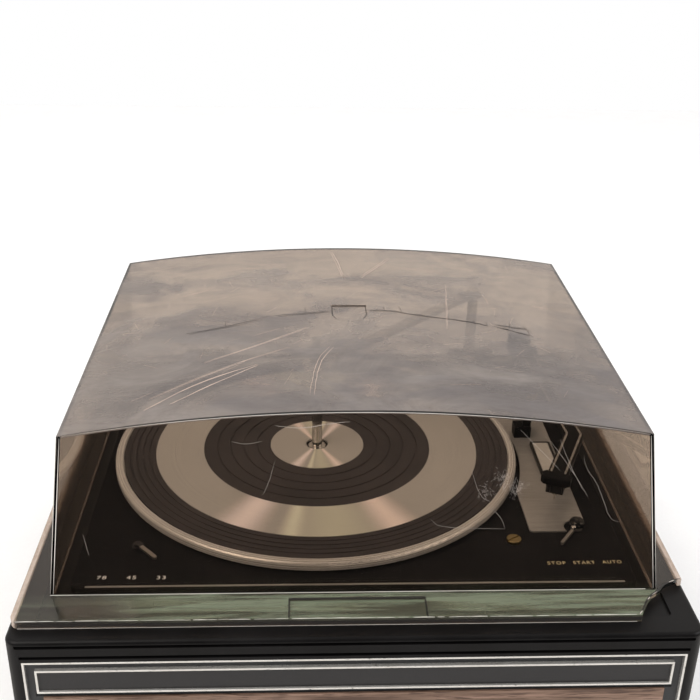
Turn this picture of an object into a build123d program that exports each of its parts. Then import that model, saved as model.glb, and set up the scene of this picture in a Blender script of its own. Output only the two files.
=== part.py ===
"""Automatic record changer on a low black plinth, with a smoked lid.

The frame is the whole object's: origin at the middle of its footprint on the table, +X to the
right, +Y to the back and +Z up. All sizes are millimetres.
"""
from build123d import *
from math import acos, atan2, cos, degrees, hypot, pi, radians, sin, sqrt, tan
import os

# Plinth
case_w, case_d = 392.0, 366.0
case_top = 125.0                 # height of the ledge that the lid stands on
case_corner_r = 8.0
case_wall = 3.0
case_edge_r = 2.5                # rounding of the ledge's outer edge
foot_h, foot_r = 8.0, 12.0
foot_stem_r, foot_lock_r = 1.5, 3.0
foot_x, foot_y = case_w / 2 - 36.0, case_d / 2 - 35.0
board_t = 3.0                    # bottom board
boss_r, boss_h = 6.0, 34.0
boss_x, boss_y = case_w / 2 - 13.0, case_d / 2 - 13.0
screw_r, screw_head_r, screw_head_h = 1.5, 3.4, 1.8
screw_clear = 0.1                # between a screw and the hole that it sits in
slack = 0.3                      # between pieces that lift out of each other
running = 0.05                   # between a shaft and its bearing
shelf_t, shelf_top = 3.0, 99.0
shelf_front_y, shelf_rear_y = -92.0, 116.0
fascia_frame_w = 8.0             # land behind the edges of the fascia and of the back panel
rim_x, rim_front, rim_rear, rim_deep = 181.0, -167.0, 160.0, 1.6    # sunk area within the ledge

# Front of the plinth
fascia_edge, window_edge, wood_edge = 9.0, 6.5, 9.3      # margins at each end
fascia_w, fascia_top, fascia_bottom = case_w - 2 * fascia_edge, 110.8, 18.8
trim_t = 1.2                     # width of the bright lines as seen from the front
fascia_depth, fascia_t = 2.5, 4.0
window_w, window_top, window_bottom = fascia_w - 2 * window_edge, 104.9, 88.7
window_t = 1.2
wood_w, wood_top, wood_bottom, wood_t = fascia_w - 2 * wood_edge, 84.5, 26.0, 1.3
groove_w, groove_deep = 2.0, 2.2
groove_rows = ((121.3, case_w - 12.0), (114.0, case_w - 16.0))

# Back of the plinth
bay_w, bay_bottom, bay_top, bay_deep, bay_wall = 236.0, 22.0, 106.0, 12.0, 2.4
panel_t = 2.4
slot_n, slot_w, slot_l, slot_pitch = 11, 3.0, 42.0, 9.0
socket_x, socket_gap, socket_z = bay_w / 2 - 40.0, 15.0, 50.0
socket_r, socket_bore_r, socket_l = 4.15, 1.6, 8.5
gland_x, gland_z, gland_r, gland_bore_r = 34.0 - bay_w / 2, 45.0, 8.0, 3.7

# Lid
lid_w, lid_front, lid_rear = 354.0, -148.3, 162.0        # outside of the walls at the flange
flange_z, lid_t, lid_edge_r = 130.0, 2.4, 1.2
lid_top_w, lid_top_front, lid_top_rear = 335.8, -130.0, 143.3
lid_shoulder, lid_crown = 94.1, 14.0
flange_w, flange_front, flange_rear = 389.0, -172.0, 170.0
lip_h = 4.7
grip_w, grip_front, grip_rear, grip_deep = 78.0, -171.0, -154.5, 1.1
badge_w, badge_rear, badge_front, badge_y, badge_deep = 24.0, 24.7, 9.0, -2.6, 0.9
# Break at the front right corner of the flange, from the lip round to the side.
break_line = ((160.2, -174.3), (163.9, -167.3), (168.6, -159.2), (171.9, -155.1), (178.4, -150.2),
              (181.5, -146.0), (185.9, -143.1), (191.6, -140.4), (198.0, -139.0))

# Hinges
hinge_y, hinge_z, hinge_x = 176.0, 129.0, 112.0
knuckle_r, hinge_pin_r, leaf_t = 3.4, 1.4, 1.2
knuckle_l, leaf_l = 12.0, 38.0

# Unit plate
deck_w, deck_front, deck_rear, deck_top = 333.0, -144.8, 151.0, 132.0
sheet = 1.5
skirt_bottom, deck_edge_r = 125.4, 0.8
opening_edge = 5.0               # the opening in the case lies this far inside the plate
opening_x = deck_w / 2 - opening_edge
opening_front, opening_rear = deck_front + opening_edge, deck_rear - opening_edge
px, py = -21.5, 5.0              # spindle axis
well_r, well_floor = 112.0, 118.0
strip_w, strip_h, strip_l, strip_x = 1.2, 0.4, 316.0, 0.7
plate_x0, plate_x1, plate_y0, plate_y1, plate_t = 112.0, 149.0, -93.0, 62.0, 1.0
pad_x0, pad_y0, pad_y1, pad_h = 132.5, -27.0, 15.0, 2.2
pad_rim, pad_deep, notch_gap = 1.6, 0.6, 3.0
rear_rim_gap = 3.3               # ring of bare deck between the platter and the bright plate

# Platter
platter_r, platter_web_top, platter_web_t = 139.7, 137.0, 1.8
rim_bottom, rim_top, rim_w = 134.0, 140.8, 5.6
drive_r, drive_t, drive_bottom = 104.0, 2.0, 120.0
hub_r, hub_boss_r, hub_bottom, hub_top = 8.0, 7.4, 122.0, 137.6
clip_t, ball_r = 0.9, 1.2
mat_r, mat_t = 133.6, 3.0
ring_r, ring_inner_r, disc_r, disc_hole_r = 112.2, 79.2, 32.8, 7.7
inlay_t = 1.0
rib_n, rib_w, rib_deep = 4, 1.4, 0.5

# Bearing and spindle
tube_r, tube_bottom, tube_top = 6.0, 108.0, 139.2
bearing_flange_r, bearing_flange_t = 12.0, 1.5
spindle_r, spindle_bottom, shelf_z, spindle_top = 3.55, 104.0, 186.0, 221.0
stem_r, stem_shift = 2.7, 0.7   # slim upper part, set to one side to leave a shelf
pusher_t, pusher_low, pusher_high = 1.4, 172.0, 185.4
pusher_back, pusher_reach, pusher_travel = 0.6, 3.3, 1.4

# Drive
idler_r, idler_z, step_h = 20.0, 131.5, 4.5
pulley_r = (2.10, 2.84, 4.92)    # 33, 45 and 78 turns a minute
tyre_t, tyre_w = 1.6, 3.0
nip_gap = 0.3
idler_angle, nip_angle, arm_a = 200.0, 30.0, 48.0
shaft_r = 1.6
motor_w, motor_d, stack_h, stack_z = 64.0, 54.0, 18.0, 84.0
rotor_r, rotor_gap = 15.0, 0.5
bracket_t, bracket_top_z, bracket_low_z = 2.0, 108.8, 77.5
mount_r, mount_angles = 33.0, (250.0, 0.0, 150.0)
grommet_r, grommet_neck_r, mount_head_h = 5.5, 3.0, 1.3
bolt_r, bolt_x, bolt_y = 1.5, 14.0, 22.5
limb_x, window_x, winding_h = 32.0, 23.4, 3.5
winding_half, winding_out, winding_in = 13.0, 5.0, 5.2
slit_half_w, slit_x, slit_half_l = 2.6, 26.0, 15.0       # windows in the stator's stack
plate_half_w, plate_half_l, ear_w = 19.0, 27.0, 12.0

# Cycle gear
gear_m, pinion_n, gear_n = 1.5, 16, 54
gear_angle, gear_z, gear_h = 20.0, 122.2, 4.6
gear_missing, backlash = 3, 0.3
cam_stud_r = 3.0

# Levers
speed_l, control_l, lever_t, lever_z = 18.0, 22.8, 1.6, 133.6
lever_shaft_r, speed_w, control_w, crank_l = 2.5, 2.6, 2.0, 12.0
speed_x, speed_y, speed_a = -132.2, -105.2, 41.4
control_x, control_y, control_a = 142.5, -89.2, -35.7
knob_r, knob_h, knob_round = 5.0, 4.2, 3.2
switch_w, switch_l, switch_h = 18.0, 26.0, 13.0
switch_dx, switch_dy = -23.0, 25.4
lever_bush_w, lever_bush_h = 3.5, 6.0

# Tonearm
arm_x, arm_y = 146.0, 114.0
kink_x, kink_y = 154.8, -17.5
head_x, head_y = 130.1, -73.3
arm_top, arm_h = 160.0, 4.4
arm_w, head_w = 13.0, 19.0
arm_shaft_r, axle_r, axle_z, cheek_t = 3.5, 1.5, 157.8, 2.0
shell_l, stylus_z = 13.5, 142.4
weight_w, weight_l, weight_back = 16.0, 14.0, 12.0
base_r, base_t, collar_r, sleeve_h = 15.0, 2.5, 9.5, 8.0
yoke_half, yoke_plate_w, yoke_plate_t, yoke_drop, cheek_l, cheek_over = 7.0, 15.0, 2.5, 14.0, 9.0, 3.0

# Overarm
post_x, post_y, post_r = 104.0, 132.0, 4.0
over_z, over_h, over_w = 199.0, 4.0, 7.0
fork_r, fork_gap, post_bush_r = 10.0, 0.9, 6.6
post_drop, bush_flange_w, bush_flange_t, bush_h, bush_drop = 24.0, 3.4, 2.0, 12.0, 8.0

# Lift rail of the tonearm
lift_back, lift_r, rail_w, rail_gap = 30.0, 2.0, 3.0, 0.5
rail_sweep = 36.0
lift_drop, lift_flange_w, lift_flange_t, lift_bush_drop = 22.0, 2.4, 3.0, 4.0

# Heights shared by several pieces
pulley_bottom, pulley_top, post_z, crank_z, yoke_z = 120.2, 134.0, 134.4, 110.0, 145.5
rest_x0, rest_x1, rest_y = 123.0, 135.0, 29.0

# Springs under the unit plate
spring_r, spring_wire_r, spring_turns, seat_t = 6.4, 0.7, 5, 2.0
transit_r, transit_head_r, transit_head_h = 2.0, 4.6, 2.2


def at(x, y, z=0.0):
    return Pos(x, y, z)


def rod(r, z0, z1, x=0.0, y=0.0):
    """Round bar on a vertical axis."""
    return at(x, y, z0) * Cylinder(r, z1 - z0, align=(Align.CENTER, Align.CENTER, Align.MIN))


def tube(r_out, r_in, z0, z1, x=0.0, y=0.0):
    return rod(r_out, z0, z1, x, y) - rod(r_in, z0 - 1, z1 + 1, x, y)


def block(x0, x1, y0, y1, z0, z1):
    return at((x0 + x1) / 2, (y0 + y1) / 2, (z0 + z1) / 2) * Box(x1 - x0, y1 - y0, z1 - z0)


def slab(w, y0, y1, z0, z1, r):
    """Plate with rounded corners, centred on X."""
    outline = RectangleRounded(w, y1 - y0, r)
    return at(0, (y0 + y1) / 2, z0) * extrude(outline, z1 - z0)


def bar(xa, ya, xb, yb, w, z0, z1):
    """Flat bar between two points, with round ends."""
    length = hypot(xb - xa, yb - ya)
    turn = degrees(atan2(yb - ya, xb - xa))
    body = Box(length, w, z1 - z0) + Pos(-length / 2, 0, 0) * Cylinder(w / 2, z1 - z0)
    body += Pos(length / 2, 0, 0) * Cylinder(w / 2, z1 - z0)
    return at((xa + xb) / 2, (ya + yb) / 2, (z0 + z1) / 2) * Rot(0, 0, turn) * body


def rod_x(r, x0, x1, y, z):
    return Pos((x0 + x1) / 2, y, z) * Rot(0, 90, 0) * Cylinder(r, x1 - x0)


def rod_y(r, y0, y1, x, z):
    return Pos(x, (y0 + y1) / 2, z) * Rot(90, 0, 0) * Cylinder(r, y1 - y0)


# Places worked out from the sizes above
case_bottom = foot_h
front_y, back_y = -case_d / 2, case_d / 2
ci, si = cos(radians(idler_angle)), sin(radians(idler_angle))
idler_orbit = drive_r - idler_r - nip_gap
idler_x, idler_y = px + idler_orbit * ci, py + idler_orbit * si
nip = idler_r + pulley_r[0] + nip_gap
cn, sn = cos(radians(nip_angle)), sin(radians(nip_angle))
motor_x = idler_x + nip * (cn * -si + sn * -ci)
motor_y = idler_y + nip * (cn * ci + sn * -si)
pivot_x = idler_x - arm_a * ci
pivot_y = idler_y - arm_a * si
gear_reach = gear_m * (pinion_n + gear_n) / 2 + running
gear_x = px + gear_reach * cos(radians(gear_angle))
gear_y = py + gear_reach * sin(radians(gear_angle))
mounts_xy = [(motor_x + mount_r * cos(radians(a)), motor_y + mount_r * sin(radians(a)))
             for a in mount_angles]
springs_xy = ((100.0, -102.0), (-112.0, -116.0), (-146.0, 127.0), (62.0, 134.0))
transit_xy = (springs_xy[0], springs_xy[2])
arm_len = hypot(kink_x - arm_x, kink_y - arm_y)
ax, ay = (kink_x - arm_x) / arm_len, (kink_y - arm_y) / arm_len
lift_x, lift_y = arm_x + lift_back * ax, arm_y + lift_back * ay
head_len = hypot(kink_x - head_x, kink_y - head_y)
hx, hy = (head_x - kink_x) / head_len, (head_y - kink_y) / head_len


def plinth_shell():
    outer = slab(case_w, front_y, back_y, case_bottom, case_top, case_corner_r)
    outer = fillet(outer.edges().group_by(Axis.Z)[-1], case_edge_r)
    inner = slab(case_w - 2 * case_wall, front_y + case_wall, back_y - case_wall,
                 case_bottom - 1, case_top - case_wall, case_corner_r - case_wall)
    shell = outer - inner
    shell -= slab(2 * rim_x, rim_front, rim_rear, case_top - rim_deep, case_top + 1, 3)
    shell -= block(-opening_x, opening_x, opening_front, opening_rear, case_top - 10, case_top + 1)
    # fascia recess, closed behind by a frame that carries the fascia
    shell -= block(-fascia_w / 2, fascia_w / 2, front_y - 1, front_y + fascia_depth + fascia_t,
                   fascia_bottom, fascia_top)
    frame_y0 = front_y + fascia_depth + fascia_t
    frame = block(-case_w / 2 + case_wall, case_w / 2 - case_wall, front_y + case_wall,
                  frame_y0 + case_wall, fascia_bottom - 6, fascia_top + 6)
    frame -= block(-fascia_w / 2, fascia_w / 2, front_y, frame_y0, fascia_bottom, fascia_top)
    frame -= block(-fascia_w / 2 + fascia_frame_w, fascia_w / 2 - fascia_frame_w, front_y,
                   frame_y0 + 9, fascia_bottom + fascia_frame_w, fascia_top - fascia_frame_w)
    shell += frame
    for row_z, row_w in groove_rows:
        shell -= block(-row_w / 2, row_w / 2, front_y - 1, front_y + groove_deep,
                       row_z - groove_w / 2, row_z + groove_w / 2)
    # bay at the back
    bay_y = back_y - bay_deep
    shell -= block(-bay_w / 2, bay_w / 2, back_y - case_wall - 1, back_y + 1, bay_bottom, bay_top)
    bay = block(-bay_w / 2 - bay_wall, bay_w / 2 + bay_wall, bay_y - case_wall, back_y - 1,
                bay_bottom - bay_wall, bay_top + bay_wall)
    bay -= block(-bay_w / 2, bay_w / 2, bay_y, back_y + 1, bay_bottom, bay_top)
    bay -= block(-bay_w / 2 + fascia_frame_w, bay_w / 2 - fascia_frame_w, bay_y - 9, back_y,
                 bay_bottom + fascia_frame_w, bay_top - fascia_frame_w)
    shell += bay
    for x, z in panel_screw_places():
        shell -= rod_y(screw_r + screw_clear, bay_y - case_wall - 1, bay_y + 1, x, z)
    for sx in (-1, 1):
        for sy in (-1, 1):
            boss = rod(boss_r, case_bottom + board_t, case_bottom + board_t + boss_h,
                       sx * boss_x, sy * boss_y)
            web = block(sx * boss_x - 1, sx * boss_x + 1, sy * (boss_y + 7.5) - 4.0,
                        sy * (boss_y + 7.5) + 4.0, case_bottom + board_t,
                        case_bottom + board_t + boss_h)
            side = block(min(sx * boss_x, sx * (case_w / 2 - 1)),
                         max(sx * boss_x, sx * (case_w / 2 - 1)), sy * boss_y - 1, sy * boss_y + 1,
                         case_bottom + board_t, case_bottom + board_t + boss_h)
            shell += boss + side
            if sy > 0:
                shell += web
            shell -= rod(screw_r + screw_clear, case_bottom, case_bottom + board_t + boss_h - 4,
                         sx * boss_x, sy * boss_y)
    inner_x = case_w / 2 - case_wall + 0.5
    shell += block(-inner_x, inner_x, front_y + fascia_depth + fascia_t + case_wall - 0.5,
                   shelf_front_y, shelf_top - shelf_t, shelf_top)
    shell += block(-inner_x, inner_x, shelf_rear_y, back_y - bay_deep - case_wall + 0.5,
                   shelf_top - shelf_t, shelf_top)
    for x, y in springs_xy:
        shell -= rod(2.6, shelf_top - shelf_t - 1, shelf_top + 1, x, y)
    for sx in (-1, 1):
        for dx in (-leaf_l / 2 + 6, leaf_l / 2 - 6):
            shell -= rod(screw_r, case_top - case_wall - 1, case_top + 1, sx * hinge_x + dx,
                         hinge_y)
    return shell


def base_board():
    gap = case_wall + slack
    board = slab(case_w - 2 * gap, front_y + gap, back_y - gap, case_bottom,
                 case_bottom + board_t, case_corner_r - case_wall)
    for sx in (-1, 1):
        for sy in (-1, 1):
            board -= rod(screw_r + 0.3, 0, 20, sx * boss_x, sy * boss_y)
            board -= rod(foot_stem_r + screw_clear, 0, 20, sx * foot_x, sy * foot_y)
    for k in range(7):
        board -= at(-54 + 18 * k, -70, case_bottom + 1.5) * Box(4, 70, 9)
    return board


def rubber_feet():
    made = []
    for sx in (-1, 1):
        for sy in (-1, 1):
            foot = rod(foot_r, 0, foot_h, sx * foot_x, sy * foot_y)
            foot = chamfer(foot.edges().group_by(Axis.Z)[0], 1.5)
            foot += rod(foot_stem_r, foot_h - 0.5, foot_h + board_t + 1.2, sx * foot_x, sy * foot_y)
            foot += rod(foot_lock_r, foot_h + board_t, foot_h + board_t + 2.0, sx * foot_x,
                        sy * foot_y)
            made.append(foot.solids()[0])
    return Compound(children=made)


def case_screws():
    made = []
    for sx in (-1, 1):
        for sy in (-1, 1):
            screw = rod(screw_head_r, case_bottom - screw_head_h, case_bottom,
                        sx * boss_x, sy * boss_y)
            screw += rod(screw_r, case_bottom - 0.5, case_bottom + 20, sx * boss_x, sy * boss_y)
            slot = at(sx * boss_x, sy * boss_y, case_bottom - screw_head_h) * Box(8, 0.9, 1.4)
            made.append((screw - slot).solids()[0])
    return Compound(children=made)


def fascia_frame():
    y0 = front_y + fascia_depth
    w = fascia_w - 2 * trim_t - 0.2
    plate = block(-w / 2, w / 2, y0, y0 + fascia_t, fascia_bottom + trim_t + 0.1,
                  fascia_top - trim_t - 0.1)
    # shadow step round the window and below the wood
    plate -= block(-window_w / 2 - 1.5, window_w / 2 + 1.5, y0 - 1, y0 + 0.8,
                   wood_top, window_bottom)
    plate += block(-window_w / 2 + trim_t + 1, window_w / 2 - trim_t - 1, y0, y0 + 1,
                   wood_top + 1.4, window_bottom - 1.4)
    return plate


def trim_ring(w, z0, z1, y0, y1, t):
    ring = block(-w / 2, w / 2, y0, y1, z0, z1)
    ring -= block(-w / 2 + t, w / 2 - t, y0 - 1, y1 + 1, z0 + t, z1 - t)
    return ring


def outer_trim():
    return trim_ring(fascia_w, fascia_bottom, fascia_top, front_y, front_y + fascia_depth
                     + fascia_t, trim_t)


def inner_trim():
    return trim_ring(window_w, window_bottom, window_top, front_y, front_y + fascia_depth, trim_t)


def dial_window():
    w = window_w - 2 * trim_t
    y1 = front_y + fascia_depth
    return block(-w / 2, w / 2, y1 - window_t, y1, window_bottom + trim_t, window_top - trim_t)


def wood_panel():
    y1 = front_y + fascia_depth
    return block(-wood_w / 2, wood_w / 2, y1 - wood_t, y1, wood_bottom, wood_top)


def rear_panel():
    y0 = back_y - bay_deep
    panel = block(-bay_w / 2 + slack, bay_w / 2 - slack, y0, y0 + panel_t,
                  bay_bottom + slack, bay_top - slack)
    for k in range(slot_n):
        x = (k - (slot_n - 1) / 2) * slot_pitch
        panel -= at(x, y0, (bay_bottom + bay_top) / 2) * Box(slot_w, 12, slot_l)
    for k in (0, 1):
        panel -= rod_y(socket_r + 1.0, y0 - 1, y0 + panel_t + 1, socket_x + k * socket_gap, socket_z)
    panel -= rod_y(gland_r - 1.6, y0 - 1, y0 + panel_t + 1, gland_x, gland_z)
    for x, z in panel_screw_places():
        panel -= rod_y(screw_r + screw_clear, y0 - 1, y0 + panel_t + 1, x, z)
    return panel


def phono_sockets():
    y0 = back_y - bay_deep + panel_t
    plate = block(socket_x - 9, socket_x + socket_gap + 9, y0, y0 + 1.0, socket_z - 9, socket_z + 9)
    for k in (0, 1):
        x = socket_x + k * socket_gap
        plate += rod_y(socket_r, y0, y0 + socket_l, x, socket_z)
        plate += rod_y(socket_r + 0.8, y0 - panel_t - 4, y0 + 0.5, x, socket_z)
        plate -= rod_y(socket_bore_r, y0 - 1, y0 + socket_l + 1, x, socket_z)
    return plate


def mains_gland():
    y0 = back_y - bay_deep
    gland = rod_y(gland_r, y0 + panel_t, y0 + panel_t + 3.0, gland_x, gland_z)
    gland += rod_y(gland_r - 1.7, y0 - 3, y0 + panel_t + 1, gland_x, gland_z)
    gland += rod_y(gland_r - 0.4, y0 - 5, y0 - 0.05, gland_x, gland_z)
    gland -= rod_y(gland_bore_r, y0 - 9, y0 + 9, gland_x, gland_z)
    return gland


def panel_screw_places():
    return [(sx * (bay_w / 2 - 4.5), z) for sx in (-1, 1) for z in (bay_bottom + 4.5, bay_top - 4.5)]


def panel_screws():
    y0 = back_y - bay_deep
    made = []
    for x, z in panel_screw_places():
        screw = rod_y(screw_head_r, y0 + panel_t, y0 + panel_t + screw_head_h, x, z)
        screw += rod_y(screw_r, y0 - 2.4, y0 + panel_t + 0.5, x, z)
        made.append(screw.solids()[0])
    return Compound(children=made)


def lid_block(inset, top_drop, z0):
    """Tapered block with an arched top. inset is how far its walls lie inside the lid's outside."""
    peak = flange_z + lid_shoulder + lid_crown - top_drop
    base = at(0, (lid_front + lid_rear) / 2, flange_z) * Rectangle(
        lid_w - 2 * inset, lid_rear - lid_front - 2 * inset)
    high = flange_z + lid_shoulder
    top = at(0, (lid_top_front + lid_top_rear) / 2, high) * Rectangle(
        lid_top_w - 2 * inset, lid_top_rear - lid_top_front - 2 * inset)
    taper_w = (lid_w - lid_top_w) / lid_shoulder
    taper_f = (lid_top_front - lid_front) / lid_shoulder
    taper_r = (lid_rear - lid_top_rear) / lid_shoulder
    over = lid_crown + 6
    tall = at(0, (lid_top_front + taper_f * over + lid_top_rear - taper_r * over) / 2,
              high + over) * Rectangle(lid_top_w - taper_w * over - 2 * inset,
                                       lid_top_rear - lid_top_front - (taper_f + taper_r) * over
                                       - 2 * inset)
    body = loft([base, tall], ruled=True)
    if z0 < flange_z:
        body += block(-lid_w / 2 + inset, lid_w / 2 - inset, lid_front + inset, lid_rear - inset,
                      z0, flange_z)
    half = lid_top_w / 2
    radius = (half * half + lid_crown * lid_crown) / (2 * lid_crown)
    arch = Pos(0, (lid_front + lid_rear) / 2, peak - radius) * Rot(90, 0, 0) * Cylinder(radius, 500)
    return body & arch


def lid():
    shell = lid_block(0, 0, flange_z)
    shell = fillet([e for e in shell.edges() if e.bounding_box().max.Z > flange_z + 1], lid_edge_r)
    flange = slab(flange_w, flange_front, flange_rear, flange_z - lid_t, flange_z, 6)
    lip = slab(flange_w, flange_front, flange_rear, flange_z - lip_h, flange_z, 6)
    lip -= slab(flange_w - 2 * lid_t, flange_front + lid_t, flange_rear - lid_t,
                flange_z - lip_h - 1, flange_z - 0.5, 4)
    whole = shell + flange + lip
    whole -= lid_block(lid_t, lid_t, flange_z - lip_h - 2)
    grip = block(-grip_w / 2, grip_w / 2, grip_front, grip_rear, flange_z - grip_deep, flange_z + 2)
    whole -= grip
    half = badge_w / 2
    outline = (Polyline((-half, badge_front), (-half, badge_rear), (half, badge_rear),
                        (half, badge_front))
               + ThreePointArc((half, badge_front), (0, badge_y), (-half, badge_front)))
    badge = extrude(make_face(outline), 300)
    badge &= block(-30, 30, -30, 60, flange_z + lid_shoulder + lid_crown - badge_deep - 0.1, 300)
    whole -= badge
    far = case_w
    corner = Polyline(*break_line, (far, break_line[-1][1]), (far, -far), (break_line[0][0], -far),
                      break_line[0])
    whole -= at(0, 0, flange_z - lip_h - 1) * extrude(make_face(corner), lip_h + 1.5)
    for sx in (-1, 1):
        for dx in (-leaf_l / 2 + 8, leaf_l / 2 - 8):
            whole -= rod(1.2, flange_z - 9, flange_z + 9, sx * hinge_x + dx, lid_rear + 3.6)
    return whole


def hinge_fixed():
    made = []
    for sx in (-1, 1):
        x0 = sx * hinge_x
        leaf = block(x0 - leaf_l / 2, x0 + leaf_l / 2, hinge_y - 4.5, hinge_y + 5.0, case_top,
                     case_top + leaf_t)
        for dx in (-1, 1):
            kx = x0 + dx * (knuckle_l + 0.3)
            leaf += rod_x(knuckle_r, kx - knuckle_l / 2, kx + knuckle_l / 2, hinge_y, hinge_z)
            leaf += block(kx - knuckle_l / 2, kx + knuckle_l / 2, hinge_y - 1.5, hinge_y + 1.5,
                          case_top + 0.5, hinge_z)
        leaf -= block(x0 - knuckle_l / 2 - 0.3, x0 + knuckle_l / 2 + 0.3, hinge_y - 10,
                      hinge_y + 10, case_top + leaf_t, hinge_z + 9)
        leaf -= block(x0 - knuckle_l / 2 - 0.3, x0 + knuckle_l / 2 + 0.3,
                      hinge_y - knuckle_r - slack, hinge_y + knuckle_r + slack, 0, 400)
        leaf -= rod_x(hinge_pin_r + running, x0 - 30, x0 + 30, hinge_y, hinge_z)
        for dx in (-leaf_l / 2 + 6, leaf_l / 2 - 6):
            leaf -= rod(screw_r + 0.2, case_top - 1, case_top + 9, x0 + dx, hinge_y)
        made.append(leaf.solids()[0])
    return Compound(children=made)


def hinge_pins():
    span = 3 * knuckle_l / 2 + 0.3
    made = []
    for sx in (-1, 1):
        x0 = sx * hinge_x
        pin = rod_x(hinge_pin_r, x0 - span, x0 + span, hinge_y, hinge_z)
        for e in (-1, 1):
            pin += rod_x(hinge_pin_r + 0.8, x0 + e * (span + 0.5) - 0.5, x0 + e * (span + 0.5) + 0.5,
                         hinge_y, hinge_z)
        made.append(pin.solids()[0])
    return Compound(children=made)


def hinge_lid_leaves():
    made = []
    for sx in (-1, 1):
        x0 = sx * hinge_x
        leaf = block(x0 - leaf_l / 2, x0 + leaf_l / 2, lid_rear + 0.6, flange_rear - 0.8, flange_z,
                     flange_z + leaf_t)
        leaf += block(x0 - knuckle_l / 2, x0 + knuckle_l / 2, flange_rear - 2, hinge_y, flange_z,
                      flange_z + leaf_t)
        leaf += rod_x(knuckle_r, x0 - knuckle_l / 2, x0 + knuckle_l / 2, hinge_y, hinge_z)
        leaf -= rod_x(hinge_pin_r + running, x0 - 30, x0 + 30, hinge_y, hinge_z)
        for dx in (-leaf_l / 2 + 8, leaf_l / 2 - 8):
            leaf += rod(2.2, flange_z + leaf_t - 0.3, flange_z + leaf_t + 0.8, x0 + dx,
                        lid_rear + 3.6)
            leaf += rod(1.15, flange_z - lid_t, flange_z + 1, x0 + dx, lid_rear + 3.6)
        made.append(leaf.solids()[0])
    return Compound(children=made)


def unit_plate():
    """Pressed steel plate with its round well, standing on the springs."""
    under = deck_top - sheet
    plate = slab(deck_w, deck_front, deck_rear, skirt_bottom, deck_top, 6)
    plate = fillet(plate.edges().group_by(Axis.Z)[-1], deck_edge_r)
    plate -= slab(deck_w - 2 * sheet, deck_front + sheet, deck_rear - sheet, skirt_bottom - 1,
                  under, 4.5)
    plate -= rod(well_r, under - 5, deck_top + 1, px, py)
    plate += tube(well_r + sheet, well_r, well_floor - sheet, deck_top, px, py)
    plate += rod(well_r + sheet, well_floor - sheet, well_floor, px, py)
    for x, y, r in deck_holes():
        plate -= rod(r, 90, 150, x, y)
    return plate


def deck_holes():
    """Places and radii of the round holes in the unit plate."""
    holes = [(px, py, tube_r + screw_clear), (motor_x, motor_y, pulley_r[2] + 1.5),
             (pivot_x, pivot_y, 2.5), (gear_x, gear_y, 3.0),
             (speed_x, speed_y, lever_shaft_r + running),
             (control_x, control_y, lever_shaft_r + running),
             (arm_x, arm_y, arm_shaft_r + 1.0), (post_x, post_y, post_r + 0.9),
             (lift_x, lift_y, lift_r + 0.6)]
    holes += [(x, y, grommet_neck_r) for x, y in mounts_xy]
    holes += [(x, y, transit_r + screw_clear) for x, y in transit_xy]
    return holes


def coil(r, wire_r, turns, z0, z1, x, y):
    """Compression spring of one unbroken wire, each quarter turn a pair of tangent arcs."""
    quarters = 4 * turns
    rise = (z1 - z0 - 2 * wire_r) / quarters
    slope = Vector(0, r, rise / (pi / 2)).normalized()

    def point(k):
        return Vector(x + r * cos(k * pi / 2), y + r * sin(k * pi / 2), z0 + wire_r + rise * k)

    def heading(k):
        return slope.rotate(Axis.Z, 90 * k)

    edges = []
    for k in range(quarters):
        p0, p1, t0, t1 = point(k), point(k + 1), heading(k), heading(k + 1)
        chord, sweep_dir = p1 - p0, t0 + t1
        lead = chord.dot(sweep_dir)
        spread = 2 * (1 - t0.dot(t1))
        d = (-lead + sqrt(lead * lead + spread * chord.dot(chord))) / spread
        middle = (p0 + p1 + (t0 - t1) * d) * 0.5
        first = TangentArc(p0, middle, tangent=t0)
        edges += [first, TangentArc(middle, p1, tangent=first % 1)]
    pitch = 4 * rise
    print(f"coil at {x:.1f}, {y:.1f}: least gap between turns {pitch - 2 * wire_r:.2f} mm")
    path = Wire(edges)
    return sweep(Plane(origin=path @ 0, z_dir=path % 0) * Circle(wire_r), path=path)


def suspension_springs():
    made = [coil(spring_r, spring_wire_r, spring_turns, shelf_top + seat_t, deck_top - sheet, x, y)
            for x, y in springs_xy]
    return Compound(children=[s.solids()[0] for s in made])


def spring_seats():
    """Rubber cups that hold the lower ends of the springs on the shelves."""
    made = []
    for x, y in springs_xy:
        seat = rod(spring_r + spring_wire_r + 2.0, shelf_top, shelf_top + seat_t, x, y)
        seat += rod(spring_r - spring_wire_r - 0.3, shelf_top, shelf_top + seat_t + 4, x, y)
        seat += rod(2.6, shelf_top - shelf_t, shelf_top, x, y)
        seat += rod(4.2, shelf_top - shelf_t - 1.6, shelf_top - shelf_t, x, y)
        seat -= rod(transit_r + screw_clear, 80, 120, x, y)
        made.append(seat.solids()[0])
    return Compound(children=made)


def transit_screws():
    made = []
    for x, y in transit_xy:
        screw = rod(transit_r, shelf_top - 14, deck_top + 0.2, x, y)
        head = rod(transit_head_r, deck_top, deck_top + transit_head_h, x, y)
        head = fillet(head.edges().group_by(Axis.Z)[-1], 0.6)
        head -= at(x, y, deck_top + transit_head_h) * Rot(0, 0, 35) * Box(12, 1.1, 1.6)
        nut = at(x, y, shelf_top - 13) * extrude(RegularPolygon(4.2, 6), 3)
        made.append((screw + head + nut).solids()[0])
    return Compound(children=made)


def front_trim_strip():
    y0 = deck_front + deck_edge_r
    return block(strip_x - strip_l / 2, strip_x + strip_l / 2, y0, y0 + strip_w, deck_top,
                 deck_top + strip_h)


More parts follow.
